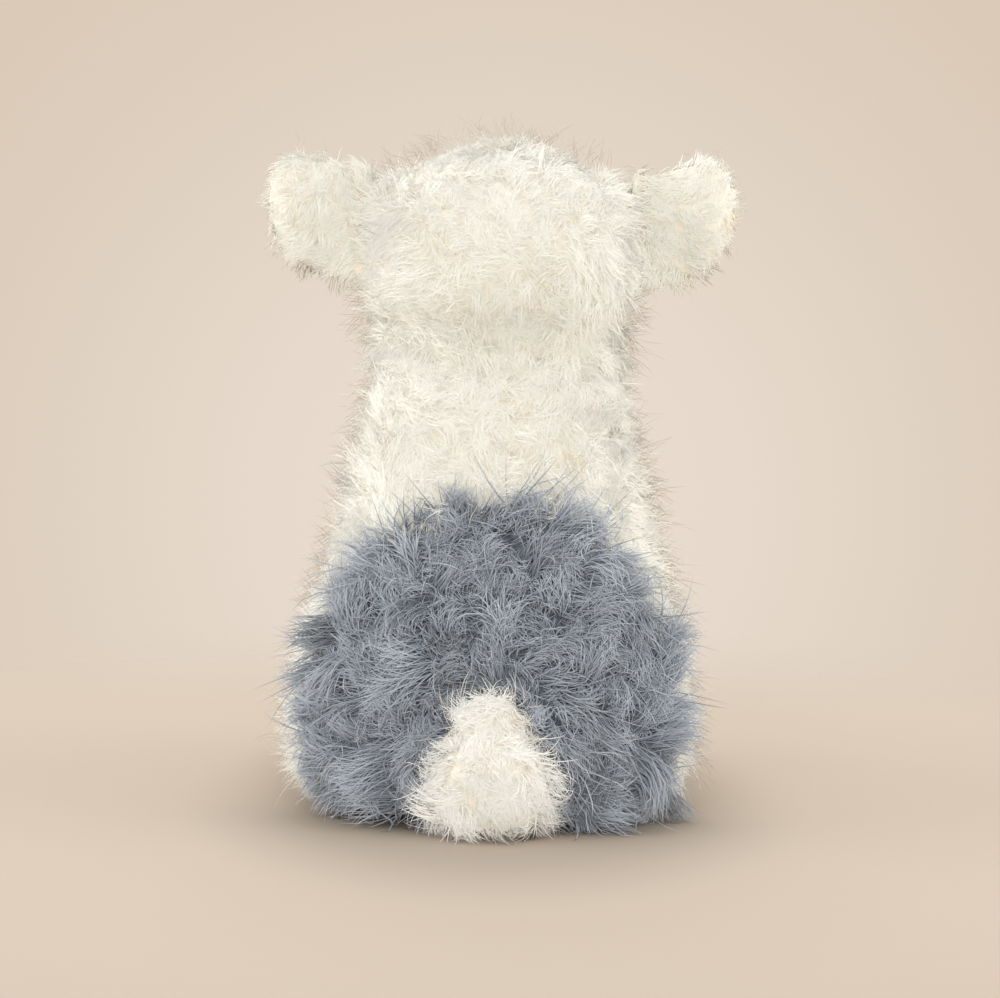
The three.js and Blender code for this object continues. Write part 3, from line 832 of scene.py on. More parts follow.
@dataclass
class Pile:
    """Separate locks of pile that grow on a cover.

    Attributes:
        name: The pieces' name, with a number where there are more than one.
        cover: The cover that it grows on.
        cut: How its locks are cut.
        comb: Which way they lie.
        finish: Their finish.
        seed: The seed of its draws.
        grows: Gives the share of the density at each place, from the places and normals.
        shorn: Gives the share of the length at each place.
        clear: How near a neighbour no strand grows towards it, or 0 where all do.
        towards: How squarely a strand has to point at a neighbour for that, as a cosine.
    """

    name: str
    cover: Cover
    cut: Cut
    comb: Comb
    finish: PileFinish
    seed: int
    grows: Callable[[np.ndarray, np.ndarray], np.ndarray]
    shorn: Callable[[np.ndarray], np.ndarray] | None = None
    clear: float = 0.004
    towards: float = 0.35

    def grow(self) -> None:
        """Grows the pile as pieces of limited size."""
        self.chance = np.random.default_rng(self.seed)
        self._root()
        self._gather()
        strands = self._strands()
        tones = self._tones()
        triangles = 6 * self.cut.rings
        parts = max(1, math.ceil(len(self.points) * triangles / PIECE_TRIANGLES))
        order = np.argsort(self.points[:, 0], kind="stable")
        for number, chosen in enumerate(np.array_split(order, parts)):
            name = f"{self.name}_{number + 1}" if parts > 1 else self.name
            piece = self._piece(name, strands[chosen], self.normals[chosen], tones[chosen])
            piece.visible_shadow = not self.finish.pale
            place_piece(piece, self.cover.body, material_of(self.finish))

    def _root(self) -> None:
        """Scatters roots evenly over the cover, and reads its smooth normals there."""
        mesh, chance = self.cover.obj.data, self.chance
        mesh.calc_loop_triangles()
        corners = np.empty(len(mesh.loop_triangles) * 3, np.int32)
        mesh.loop_triangles.foreach_get("vertices", corners)
        corners = corners.reshape(-1, 3)
        places, normals = points_of(self.cover.obj)
        first, second, third = (places[corners[:, corner]] for corner in range(3))
        areas = np.linalg.norm(np.cross(second - first, third - first), axis=1) / 2
        centres, facing = (first + second + third) / 3, unit(normals[corners].mean(1))
        areas *= self.grows(centres, facing)
        reach = np.cumsum(areas)
        count = int(reach[-1] * self.cut.density)
        spots = (np.arange(count) + chance.uniform(0, 1, count)) * (reach[-1] / count)
        chosen = np.minimum(np.searchsorted(reach, spots), len(corners) - 1)
        share = chance.uniform(0, 1, (count, 2))
        folded = share.sum(1) > 1
        share[folded] = 1 - share[folded]
        weights = np.column_stack([1 - share.sum(1), share])[:, :, None]
        self.points = (places[corners[chosen]] * weights).sum(1)
        self.normals = unit((normals[corners[chosen]] * weights).sum(1))
        free = self._free()
        self.points, self.normals = self.points[free], self.normals[free]

    def _free(self) -> np.ndarray:
        """Finds the roots that don't face into a neighbouring body.

        Returns:
            True for each root that may carry a strand.
        """
        free = self.points[:, 2] > FLOOR_CLEARANCE * 2
        for tree in neighbour_trees(self.cover.body) if self.clear else ():
            for index in np.flatnonzero(free):
                root, normal = Vector(self.points[index]), Vector(self.normals[index])
                free[index] = facing_of(tree, root, normal, self.clear)[1] < self.towards
        return free

    def _gather(self) -> None:
        """Gathers the strands into locks: picks each lock's middle root, and each root's lock."""
        share = min(1.0, 1.0 / (self.cut.density * self.cut.spacing ** 2))
        wanted = max(1, int(len(self.points) * share))
        self.locks = np.sort(self.chance.choice(len(self.points), wanted, replace=False))
        tree = KDTree(len(self.locks))
        for number, index in enumerate(self.locks):
            tree.insert(self.points[index], number)
        tree.balance()
        self.members = np.array([tree.find(point)[1] for point in self.points])

    def _strands(self) -> np.ndarray:
        """Draws each strand's line.

        Returns:
            The points of each line, from root to tip.
        """
        points, normals, locks, members = self.points, self.normals, self.locks, self.members
        cut, chance, count = self.cut, self.chance, len(points)
        lock_aim = self.comb.directions(points[locks], normals[locks], chance)
        lock_lean = np.radians(chance.uniform(*cut.lean, len(locks)))
        lock_curl = np.radians(cut.curl) * chance.normal(0, 1, len(locks))
        lock_length = chance.uniform(*LOCK_LENGTHS, len(locks))
        wild = chance.uniform(0, 1, count) < cut.wild
        aim = lock_aim[members]
        aim = unit(aim - (aim * normals).sum(1, keepdims=True) * normals)
        personal = self.comb.strand_turn * np.where(wild, WILD_TURN, 1.0)
        aim = turned(aim, normals, np.radians(personal) * chance.normal(0, 1, count))
        lean = lock_lean[members] + np.radians(STRAND_LEAN) * chance.normal(0, 1, count)
        lean = np.where(wild, lean * chance.uniform(*WILD_LEAN, count), lean)
        curl = lock_curl[members] + np.radians(cut.curl * STRAND_CURL) * chance.normal(0, 1, count)
        length = chance.uniform(*cut.length, count) * lock_length[members]
        length = np.where(wild, length * cut.wild_reach, length)
        if self.shorn:
            length = length * self.shorn(points)
        across = np.cross(normals, aim)
        segments = cut.rings + 1
        steps = np.linspace(0, 1, segments + 1)
        line = np.empty((count, segments + 1, 3))
        line[:, 0] = points
        bend = math.radians(cut.bend)
        for number in range(segments):
            middle = (steps[number] + steps[number + 1]) / 2
            tilt = np.minimum(lean + bend * middle, math.radians(MOST_TILT))
            side = curl * middle
            flat = aim * np.cos(side)[:, None] + across * np.sin(side)[:, None]
            heading = normals * np.cos(tilt)[:, None] + flat * np.sin(tilt)[:, None]
            stride = (length * (steps[number + 1] - steps[number]))[:, None]
            line[:, number + 1] = line[:, number] + heading * stride
        drawn = points - points[locks][members]
        pull = np.where(wild, 0.0, cut.gather * chance.uniform(*STRAND_GATHER, count))
        line -= drawn[:, None, :] * (pull[:, None] * steps ** GATHER_POWER)[:, :, None]
        line[:, :, 2] -= cut.droop * steps ** 2 * (length / cut.length[1])[:, None]
        return line

    def _piece(
        self, name: str, lines: np.ndarray, normals: np.ndarray, tone: np.ndarray
    ) -> bpy.types.Object:
        """Makes one mesh of closed three-sided strands.

        Args:
            name: The piece's name.
            lines: The strands' lines.
            normals: The cover's normals at the roots.
            tone: Each strand's place on the map's V axis.

        Returns:
            The new object.
        """
        rings, count = self.cut.rings, len(lines)
        headings = unit(np.gradient(lines, axis=1))
        side = unit(np.cross(headings, normals[:, None, :]) + 1e-6)
        over = unit(np.cross(headings, side))
        steps = np.linspace(0, 1, rings + 2)[1:-1]
        taper = np.clip(TAPER[0] * (1 - steps) ** TAPER[1], 0, 1)
        widths = self.cut.width / 2 * self.chance.uniform(*STRAND_WIDTHS, count)
        per = 3 * rings + 2
        points, shades = np.empty((count, per, 3)), np.empty((count, per, 3))
        map_place = np.empty((count, per, 2))
        softness = self.finish.softness
        first, last = MAP_ENDS
        points[:, 0], shades[:, 0] = lines[:, 0] - normals * ROOT_DEPTH, normals
        map_place[:, 0] = np.column_stack([np.full(count, first), tone])
        for ring in range(rings):
            for corner in range(3):
                angle = 2 * math.pi * corner / 3
                round_lock = side[:, ring + 1] * math.cos(angle) + over[:, ring + 1] * math.sin(angle)
                at = 1 + ring * 3 + corner
                points[:, at] = lines[:, ring + 1] + round_lock * (widths * taper[ring])[:, None]
                shades[:, at] = unit(softness * normals + (1 - softness) * round_lock)
                along = np.full(count, first + (last - first) * steps[ring])
                map_place[:, at] = np.column_stack([along, tone + MAP_STRIP * (0.0, 1.0, 0.5)[corner]])
        pointed = softness * normals + (TIP_SHADE - softness) * headings[:, -1]
        points[:, -1], shades[:, -1] = lines[:, -1], unit(pointed)
        map_place[:, -1] = np.column_stack([np.full(count, last), tone + MAP_STRIP / 2])
        points[:, :, 2] = np.maximum(points[:, :, 2], FLOOR_CLEARANCE)
        return strand_mesh(name, points, shades, map_place, rings)

    def _tones(self) -> np.ndarray:
        """Gives each strand its tone: slow patches, its lock's, and its own chance.

        Returns:
            A place on the map's V axis for each strand.
        """
        patch = PATCH_TONE * slow_noise(self.points, PATCH_SIZE, np.random.default_rng(self.seed + 1))
        lock = self.chance.normal(0.5, LOCK_TONE, self.members.max() + 1)[self.members]
        own = self.chance.normal(0, STRAND_TONE, len(self.points))
        tone = np.clip(lock + patch + own, *TONE_ENDS)
        return (np.round(tone * TONE_ROWS) + 0.2) / (TONE_ROWS + 1)


def grow_all(*piles: Pile) -> None:
    """Grows piles, in their order."""
    for pile in piles:
        pile.grow()


def strand_mesh(
    name: str,
    points: np.ndarray,
    shades: np.ndarray,
    places: np.ndarray,
    rings: int,
) -> bpy.types.Object:
    """Makes the mesh of many like strands.

    Args:
        name: The object's name.
        points: Each strand's points: the root, three for each ring, and the tip.
        shades: The normals to shade them with.
        places: Their places on the pile's map.
        rings: The rings on a strand.

    Returns:
        The new object, in the scene's collection.
    """
    count, per = points.shape[:2]
    root = [(0, 1 + (corner + 1) % 3, 1 + corner) for corner in range(3)]
    last = 1 + 3 * (rings - 1)
    tip = [(last + corner, last + (corner + 1) % 3, per - 1) for corner in range(3)]
    walls = [
        (low + corner, low + (corner + 1) % 3, low + 3 + (corner + 1) % 3, low + 3 + corner)
        for low in range(1, last, 3)
        for corner in range(3)
    ]
    faces = [*root, *walls, *tip]
    pattern = np.array([corner for face in faces for corner in face], np.int64)
    sizes = np.array([len(face) for face in faces], np.int64)
    corners = (np.arange(count)[:, None] * per + pattern).ravel().astype(np.int32)
    starts = np.concatenate([[0], np.cumsum(np.tile(sizes, count))[:-1]]).astype(np.int32)
    mesh = bpy.data.meshes.new(name)
    mesh.vertices.add(count * per)
    mesh.vertices.foreach_set("co", points.ravel().astype(np.float32))
    mesh.loops.add(len(corners))
    mesh.loops.foreach_set("vertex_index", corners)
    mesh.polygons.add(len(starts))
    mesh.polygons.foreach_set("loop_start", starts)
    mesh.update(calc_edges=True)
    mesh.shade_smooth()
    layer = mesh.uv_layers.new(name=BAKE_MAP)
    layer.uv.foreach_set("vector", places.reshape(-1, 2)[corners].ravel().astype(np.float32))
    mesh.normals_split_custom_set_from_vertices(shades.reshape(-1, 3))
    made = bpy.data.objects.new(name, mesh)
    bpy.context.collection.objects.link(made)
    return made


# The toy's finishes

# Each pile's darker root colour is in part painted shade deep in the pile.
CREAM_PILE = PileFinish(
    "cream_pile", Slot.CREAM, root=(240, 236, 222), middle=(247, 246, 236), tip=(250, 249, 243),
    fleck=(226, 209, 174), contrast=0.08, fleck_share=0.15,
)
# Longer hairs about the outline, darker and taupe towards their tips: painted shade that stands for the shaded
# wisps round the outline.
SHADED_GUARD_PILE = PileFinish(
    "guard_pile", Slot.CREAM, root=(238, 231, 217), middle=(210, 199, 187), tip=(184, 172, 161),
    fleck=(196, 184, 170), contrast=0.1, fleck_share=0.1, softness=0.1,
)
WHITE_PILE = PileFinish(
    "white_pile", Slot.WHITE, root=(241, 236, 222), middle=(249, 247, 240), tip=(252, 251, 247),
    fleck=(230, 214, 184), contrast=0.06, fleck_share=0.12,
)
GREY_PILE = PileFinish(
    "grey_pile", Slot.GREY, root=(90, 96, 102), middle=(150, 157, 167), tip=(198, 205, 214),
    fleck=(100, 105, 110), contrast=0.6, fleck_share=0.10, pale=False, softness=0.55,
    glow=(255, 255, 255),
)
SHORT_PILE = PileFinish(
    "short_pile", Slot.SHORT, root=(238, 232, 216), middle=(245, 242, 231), tip=(249, 247, 240),
    fleck=(224, 207, 174), contrast=0.08, fleck_share=0.14, softness=0.3,
)
CREAM_UNDERPILE = UnderpileFinish("cream_underpile", (236, 229, 211), (246, 243, 232))
WHITE_UNDERPILE = UnderpileFinish("white_underpile", (238, 230, 211), (248, 245, 236))
GREY_UNDERPILE = UnderpileFinish("grey_underpile", (84, 90, 96), (134, 141, 149))
WASHER_PLASTIC = GlossFinish("washer_plastic", (214, 214, 210), (236, 236, 233), roughness=0.45)
SEAT_CLOTH = ClothFinish("seat_cloth", (196, 186, 164), (226, 218, 198))
NOSE_CLOTH = ClothFinish(
    "nose_cloth", (14, 13, 13), (38, 35, 34), weave=2600.0, roughness=0.45, sheen=0.1
)
EYE_PLASTIC = GlossFinish("eye_plastic", (6, 5, 5), (22, 15, 10))


@cache
def material_of(finish: Finish) -> bpy.types.Material:
    """Gives a finish's material, made once."""
    return finish.material()


# Where and how long pile grows


@dataclass(frozen=True)
class Step:
    """An even step from 0 to 1.

    Attributes:
        start: The value at which it leaves 0.
        reach: How much further on it comes to 1, below 0 where it rises towards lower values.
    """

    start: float
    reach: float

    def __call__(self, values: np.ndarray) -> np.ndarray:
        """Gives the step's height at each value."""
        return np.clip((values - self.start) / self.reach, 0, 1)


@dataclass(frozen=True)
class Region:
    """A part of a cover, as bounds of its places and normals.

    Attributes:
        aside: The distance from the toy's middle plane.
        y: The Y of a place.
        z: The Z of a place.
        facing_y: The Y of the normal there.
        facing_z: The Z of the normal there.
    """

    aside: Span = ANY
    y: Span = ANY
    z: Span = ANY
    facing_y: Span = ANY
    facing_z: Span = ANY

    def __call__(self, points: np.ndarray, normals: np.ndarray) -> np.ndarray:
        """Tells which places lie within all bounds.

        Args:
            points: The places.
            normals: The cover's normals there.

        Returns:
            1 for each place within them, and 0 elsewhere.
        """
        values = (np.abs(points[:, 0]), points[:, 1], points[:, 2], normals[:, 1], normals[:, 2])
        spans = (self.aside, self.y, self.z, self.facing_y, self.facing_z)
        within = [(value > low) & (value < high) for value, (low, high) in zip(values, spans)]
        return np.all(within, axis=0).astype(float)


EVERYWHERE = Region()
ON_FLANKS = Region(z=(0.03, FAR), facing_y=(-0.3, 0.1))
ON_TAIL_EDGE = Region(z=(0.015, FAR), facing_y=(-0.2, 0.5))
NOT_BELOW = Region(facing_z=(-0.6, FAR))

# The cuts that more than one cover shares
FUZZ = Cut(
    density=420_000, length=(0.010, 0.017), lean=(28.0, 68.0), width=0.0005, rings=1, spacing=0.006,
    gather=0.35, wild=0.0,
)
GUARD = Cut(
    density=80_000, length=(0.018, 0.028), lean=(10.0, 45.0), width=0.0005, spacing=0.005, gather=0.5,
    wild=0.1, wild_reach=1.15,
)


# Sub-assemblies


def side_name(side: int) -> str:
    """Names the toy's side: left for 1 and right for -1."""
    return "left" if side > 0 else "right"


def middle_of(name: str) -> Point:
    """Gives the middle of a CAD node's box."""
    return tuple((low + high) / 2 for low, high in zip(*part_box(name)))


@dataclass
class RumpArch:
    """The arch of grey pile over the back of the torso, as the coat that carries it draws it.

    Attributes:
        node: The CAD node of that coat.
        inset: How far inside the coat's outline the arch's sides lie.
        front: The least Y of what lies under the arch.
        side_rise: How far up or down a wall may face and still be one of the sides.
        crown: The height of the middle of the circle that rounds the top.
        crown_reach: That circle's radius.
        crown_degrees: The angles from straight up at which walls touch it.
    """

    node: str = "rump_coat"
    inset: float = 0.013
    front: float = 0.006
    side_rise: float = 0.5
    crown: float = 0.094
    crown_reach: float = 0.084
    crown_degrees: range = range(-60, 61, 10)

    def __post_init__(self) -> None:
        """Reads the arch's outline, seen from behind, as walls: each a place and an outward direction.

        Only the outline's sides are kept: walls that touch a circle make its round top.
        """
        flat = [Vector((vertex.co.x, vertex.co.z)) for vertex in frame["nodes"][self.node].data.vertices]
        outline = [flat[index] for index in convex_hull_2d(flat)]
        middle = sum(outline, Vector((0, 0))) / len(outline)
        self.walls = []
        for here, there in zip(outline, outline[1:] + outline[:1]):
            outward = (there - here).orthogonal().normalized()
            if outward.dot(here - middle) < 0:
                outward.negate()
            if outward.length and abs(outward.y) < self.side_rise:
                self.walls.append((here - outward * self.inset, outward))
        for degrees in self.crown_degrees:
            outward = Vector((math.sin(math.radians(degrees)), math.cos(math.radians(degrees))))
            self.walls.append((Vector((0, self.crown)) + outward * self.crown_reach, outward))

    def covers(self, points: np.ndarray, margin: float = 0.0) -> np.ndarray:
        """Tells which points lie under the arch, as 0 or 1.

        Args:
            points: The points.
            margin: How far inside its walls they have to lie.

        Returns:
            One value for each point.
        """
        inside = points[:, 1] > self.front
        for place, outward in self.walls:
            inside &= (points[:, [0, 2]] - np.array(place)) @ np.array(outward) < -margin
        return inside.astype(float)

    def trim(self, obj: bpy.types.Object) -> None:
        """Cuts a closed object down to what lies under the arch, and closes each cut.

        Args:
            obj: The object.
        """
        bpy.context.view_layer.objects.active = obj
        bpy.ops.object.mode_set(mode="EDIT")
        cuts = [((place.x, 0, place.y), (outward.x, 0, outward.y)) for place, outward in self.walls]
        for place, outward in [((0, self.front, 0), (0, -1, 0)), *cuts]:
            bpy.ops.mesh.select_all(action="SELECT")
            bpy.ops.mesh.bisect(plane_co=place, plane_no=outward, use_fill=True, clear_outer=True)
        bpy.ops.object.mode_set(mode="OBJECT")


@dataclass
class Torso:
    """The stuffed body, its grey rump and the cloth panel that it sits on."""

    pile_depth: float = 0.0075
    rump_proud: float = 0.0008
    arch: RumpArch = field(default_factory=RumpArch)
    whorl: Point = (0, 0.09, 0.085)
    corner_aside: Step = Step(0.06, 0.03)
    corner_low: Step = Step(0.022, -0.014)
    corner_cut: float = 0.65
    tail_root: Point = (0.0, 0.1, 0.07)
    tail_edge: Step = Step(0.02, 0.02)
    tail_kept: float = 0.4
    chest: Region = Region(y=(-FAR, -0.03), z=(-FAR, 0.19))
    chest_thinned: float = 0.3
    collar_band: float = 0.034
    rim_width: float = 0.009
    upper: Region = Region(z=(0.07, FAR))
    cream: Cut = Cut(
        density=260_000, length=(0.014, 0.023), lean=(32.0, 66.0), bend=32.0, spacing=0.009, gather=0.5,
        wild=0.06, wild_reach=1.35,
    )
    fuzz: Cut = FUZZ
    collar: Cut = Cut(density=450_000, length=(0.014, 0.021), lean=(42.0, 68.0), bend=12.0, curl=35.0)
    grey: Cut = Cut(
        density=360_000, length=(0.022, 0.036), lean=(22.0, 62.0), width=0.0008, rings=3, bend=36.0,
        curl=100.0, spacing=0.0135, gather=0.9, wild=0.07, droop=0.003,
    )
    grey_fuzz: Cut = replace(
        FUZZ, density=350_000, length=(0.012, 0.022), lean=(20.0, 60.0), width=0.0007, spacing=0.007,
        gather=0.5,
    )
    wisps: Cut = Cut(
        density=40_000, length=(0.036, 0.054), lean=(60.0, 76.0), width=0.0009, rings=4, bend=8.0,
        curl=30.0, spacing=0.010, gather=0.85, wild=0.1, wild_reach=1.1,
    )

    def build(self) -> None:
        """Models the covers of the body, the rump and the seat."""
        parts = ("torso_coat", "torso_filling", "pellet_bag")
        self.cover = Cover(
            "torso_padding", "torso", (*parts, "rump_coat"), Slot.CREAM, self.pile_depth, lump=0.0025
        )
        self.cover.build()
        self.rump = replace(self.cover, name="rump_padding", nodes=("rump_coat",), slot=Slot.GREY)
        self.rump.obj = self._rump_piece()
        self.cover.nodes = parts
        self.seat = Cover(
            "seat_cloth_panel", "torso", ("seat_panel",), Slot.CLOTH,
            depth=0.0004, voxel=0.002, fill=0.3, lump=0.0006, lump_size=0.02,
        )
        self.seat.build()

    def _rump_piece(self) -> bpy.types.Object:
        """Cuts the rump's own closed piece out of a copy of the torso.

        Returns:
            The new object.
        """
        select_only(self.cover.obj)
        bpy.ops.object.duplicate()
        rump = bpy.context.object
        rump.name = "rump_padding"
        rump.data.name = "rump_padding"
        finish_with(rump, "DISPLACE", strength=self.rump_proud, mid_level=0.0)
        self.arch.trim(rump)
        lift_off_floor(rump)
        return rump

    def dress(self) -> None:
        """Gives the torso's pieces their finishes and pile."""
        self.cover.dress(CREAM_UNDERPILE)
        self.rump.dress(GREY_UNDERPILE)
        self.seat.dress(SEAT_CLOTH)
        over = Comb(self.whorl, 1.0, along=(0, 0, 0.3), swirl=85.0, swirl_size=0.055, lock_turn=38.0)
        back = replace(over, along=(0, 0, 0.25), swirl=50.0, swirl_size=0.06)
        apart = replace(back, swirl=25.0, lock_turn=24.0)
        upward = Comb(along=(0, 0, 1), swirl=30.0, lock_turn=22.0)
        collar = Region(z=(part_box("torso_coat")[1].z - self.collar_band, FAR), facing_z=(-FAR, 0.6))
        body, low, tail = self.cover, self._low_corners, self._round_tail
        grow_all(
            Pile("torso_pile", body, self.cream, over, CREAM_PILE, 11, self._on_cream, low),
            Pile("torso_fuzz", body, self.fuzz, over, CREAM_PILE, 13, self._on_cream, low, clear=0.0),
            Pile("collar_pile", body, self.collar, upward, CREAM_PILE, 15, collar, clear=0.001),
            Pile("rump_pile", body, self.grey, back, GREY_PILE, 12, self._on_grey, tail),
            Pile("rump_fuzz", body, self.grey_fuzz, back, GREY_PILE, 14, self._on_grey, tail, clear=0.0),
            Pile("rump_wisps", body, self.wisps, apart, GREY_PILE, 16, self._on_rim),
            Pile("torso_guard", body, GUARD, over, SHADED_GUARD_PILE, 17, ON_FLANKS),
        )

    def _low_corners(self, points: np.ndarray) -> np.ndarray:
        """Gives the share of its length that the pile keeps: less low down at the sides."""
        aside = self.corner_aside(np.abs(points[:, 0]))
        return 1 - self.corner_cut * aside * self.corner_low(points[:, 2])

    def _round_tail(self, points: np.ndarray) -> np.ndarray:
        """Gives the share of its length that the grey pile keeps: less where the tail is sewn on."""
        away = self.tail_edge(np.linalg.norm(points - np.array(self.tail_root), axis=1))
        return self._low_corners(points) * (self.tail_kept + (1 - self.tail_kept) * away)

    def _on_cream(self, points: np.ndarray, normals: np.ndarray) -> np.ndarray:
        """Gives the cream pile's share of full density: none under the arch, less on the chest."""
        open_share = NOT_BELOW(points, normals) * (1 - self.arch.covers(points))
        return open_share * (1 - self.chest_thinned * self.chest(points, normals))

    def _on_rim(self, points: np.ndarray, normals: np.ndarray) -> np.ndarray:
        """Keeps the long wisps to the upper rim of the arch."""
        rim = self.arch.covers(points) - self.arch.covers(points, self.rim_width)
        return rim * self.upper(points, normals)

    def _on_grey(self, points: np.ndarray, normals: np.ndarray) -> np.ndarray:
        """Keeps the grey pile under the arch."""
        return NOT_BELOW(points, normals) * self.arch.covers(points)


@dataclass
class Eye:
    """A domed safety eye on its shank, which looks out from the head's middle."""

    side: int
    middle: Point = (0.0, -0.014, 0.308)
    radius: float = 0.0092
    dome: float = 0.0064
    rim: float = 0.0012
    shank: float = 0.0025
    rounding: float = 0.0003

    def build(self) -> None:
        """Models the dome, its rim and the shank that leads to the washer."""
        name = side_name(self.side) + "_eye"
        low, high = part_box(name)
        middle = Vector(self.middle)
        aim = ((low + high) / 2 - middle).normalized()
        reach = [(vertex.co - middle).dot(aim) for vertex in frame["nodes"][name].data.vertices]
        bpy.ops.object.select_all(action="DESELECT")
        bpy.ops.mesh.primitive_uv_sphere_add(segments=48, ring_count=32, radius=self.radius)
        self.obj = bpy.context.object
        self.obj.name = name + "_dome"
        self.obj.data.name = self.obj.name
        bpy.ops.object.mode_set(mode="EDIT")
        bpy.ops.transform.resize(value=(1, 1, self.dome / self.radius), center_override=(0, 0, 0))
        bpy.ops.mesh.bisect(plane_co=(0, 0, 0), plane_no=(0, 0, 1), use_fill=True, clear_inner=True)
        bpy.ops.mesh.extrude_region_move(TRANSFORM_OT_translate={"value": (0, 0, -self.rim)})
        bpy.ops.mesh.inset(thickness=self.radius - self.shank)
        depth = max(reach) - min(reach) - self.dome - self.rim
        bpy.ops.mesh.extrude_region_move(TRANSFORM_OT_translate={"value": (0, 0, -depth)})
        bpy.ops.object.mode_set(mode="OBJECT")
        edges = {"limit_method": "ANGLE", "angle_limit": math.radians(50)}
        finish_with(self.obj, "BEVEL", width=self.rounding, segments=2, **edges)
        turn = aim.to_track_quat("Z", "Y").to_matrix().to_4x4()
        self.obj.matrix_world = Matrix.Translation(middle + aim * (max(reach) - self.dome)) @ turn
        bpy.ops.object.transform_apply(location=True, rotation=True, scale=True)
        bpy.ops.object.shade_smooth_by_angle(angle=math.radians(40))
        place_piece(self.obj, "head", material_of(EYE_PLASTIC), (name,))
        washer = frame["nodes"][name + "_washer"].data
        washer.materials.clear()
        washer.materials.append(material_of(WASHER_PLASTIC))


@dataclass
class Head:
    """The round head with its muzzle, nose and eyes."""

    pile_depth: float = 0.0075
    muzzle_depth: float = 0.0045
    muzzle_seat: Shallow = Shallow((0.0, -0.085, 0.288), radius=0.062, share=0.0)
    socket: tuple[float, float] = (0.034, 0.45)
    nose_seat: tuple[float, float] = (0.03, 0.1)
    crown_top: Step = Step(0.345, 0.015)
    crown_aside: Step = Step(0.012, 0.022)
    crown_x: float = -0.008
    crown_cut: float = 0.65
    eye_edge: Step = Step(0.008, 0.022)
    eye_kept: float = 0.2
    eye_room: float = 0.0125
    behind_muzzle: Region = Region(aside=(-FAR, 0.03), y=(-FAR, -0.075), z=(0.269, 0.313))
    nape_band: Span = (-0.012, 0.022)
    nape_front: float = -0.07
    temple_reach: float = 0.022
    nose_room: float = 0.001
    muzzle_front: Region = Region(y=(-FAR, -0.088))
    cream: Cut = Cut(
        density=270_000, length=(0.013, 0.021), lean=(30.0, 66.0), bend=35.0, curl=70.0, gather=0.5,
        wild_reach=1.35,
    )
    fuzz: Cut = replace(FUZZ, length=(0.010, 0.016))
    nape: Cut = Cut(density=420_000, length=(0.013, 0.020), lean=(38.0, 66.0), bend=18.0, curl=40.0)
    short: Cut = Cut(
        density=420_000, length=(0.008, 0.014), lean=(30.0, 62.0), width=0.0007, curl=50.0, spacing=0.006,
        wild=0.04,
    )
    temple: Cut = Cut(
        density=350_000, length=(0.015, 0.023), lean=(50.0, 76.0), bend=20.0, curl=40.0, gather=0.5
    )

    def build(self) -> None:
        """Models the covers of the head, muzzle and nose, and the eyes."""
        sockets = (Shallow(middle_of(name), *self.socket) for name in ("left_eye", "right_eye"))
        self.cover = Cover(
            "head_padding", "head", ("head_coat", "head_filling"), Slot.CREAM, self.pile_depth,
            lump=0.002, shallow=(*sockets, self.muzzle_seat),
        )
        self.muzzle = Cover(
            "muzzle_padding", "head", ("muzzle_coat", "muzzle_filling"), Slot.SHORT, self.muzzle_depth,
            voxel=0.003, lump=0.001, shallow=(Shallow(middle_of("nose"), *self.nose_seat),),
        )
        self.nose = Cover(
            "nose_pad", "head", ("nose",), Slot.NOSE,
            depth=-0.0006, voxel=0.0011, fill=0.9, lump=0.0002, lump_size=0.004,
        )
        self.eyes = [Eye(side) for side in (1, -1)]
        for part in (self.cover, self.muzzle, self.nose, *self.eyes):
            part.build()

    def dress(self) -> None:
        """Gives the head's pieces their finishes and pile."""
        self.cover.dress(CREAM_UNDERPILE)
        self.muzzle.dress(CREAM_UNDERPILE)
        self.nose.dress(NOSE_CLOTH)
        crown = Comb((0, 0.03, 0.39), 0.6, along=(0, 0, -0.1), swirl=120.0, swirl_size=0.06)
        down = Comb(along=(0, 0, -1), swirl=35.0, lock_turn=25.0)
        back = Comb((0, -0.014, 0.338), 1.0, swirl=25.0, lock_turn=25.0)
        round_nose = Comb((0, -0.15, 0.31), 1.0, along=(0, 0, -0.3), swirl=30.0)
        rim, (root, top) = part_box("torso_coat")[1].z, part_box("left_ear_back")
        nape = Region(y=(self.nape_front, FAR), z=tuple(rim + edge for edge in self.nape_band))
        temples = Region(aside=(root.x - self.temple_reach, FAR), z=(root.z, top.z))
        head, cut, eyes = self.cover, self._crown_corners, self._round_eyes
        grow_all(
            Pile("head_pile", head, self.cream, crown, CREAM_PILE, 21, self._on_head, cut),
            Pile("head_fuzz", head, self.fuzz, crown, CREAM_PILE, 23, self._on_head, cut),
            Pile("nape_pile", head, self.nape, down, CREAM_PILE, 24, nape, clear=0.001),
            Pile("temple_pile", head, self.temple, back, CREAM_PILE, 25, temples, clear=0.001),
            Pile("head_guard", head, GUARD, crown, SHADED_GUARD_PILE, 26, ON_FLANKS),
            Pile("muzzle_pile", self.muzzle, self.short, round_nose, SHORT_PILE, 22, self._on_muzzle, eyes),
        )

    def _from_eyes(self, points: np.ndarray) -> np.ndarray:
        """Gives the distances from the middle of each eye, one row for each."""
        middles = (np.array(eye.obj.bound_box).mean(0) for eye in self.eyes)
        return np.array([np.linalg.norm(points - middle, axis=1) for middle in middles])

    def _on_head(self, points: np.ndarray, normals: np.ndarray) -> np.ndarray:
        """Leaves the eyes and the place behind the muzzle free."""
        free = (self._from_eyes(points) > self.eye_room).all(axis=0)
        return free * (1 - self.behind_muzzle(points, normals))

    def _crown_corners(self, points: np.ndarray) -> np.ndarray:
        """Gives the share of its length that the pile keeps: less on both shoulders of the crown."""
        aside = self.crown_aside(np.abs(points[:, 0] - self.crown_x))
        return (1 - self.crown_cut * self.crown_top(points[:, 2]) * aside) * self._round_eyes(points)

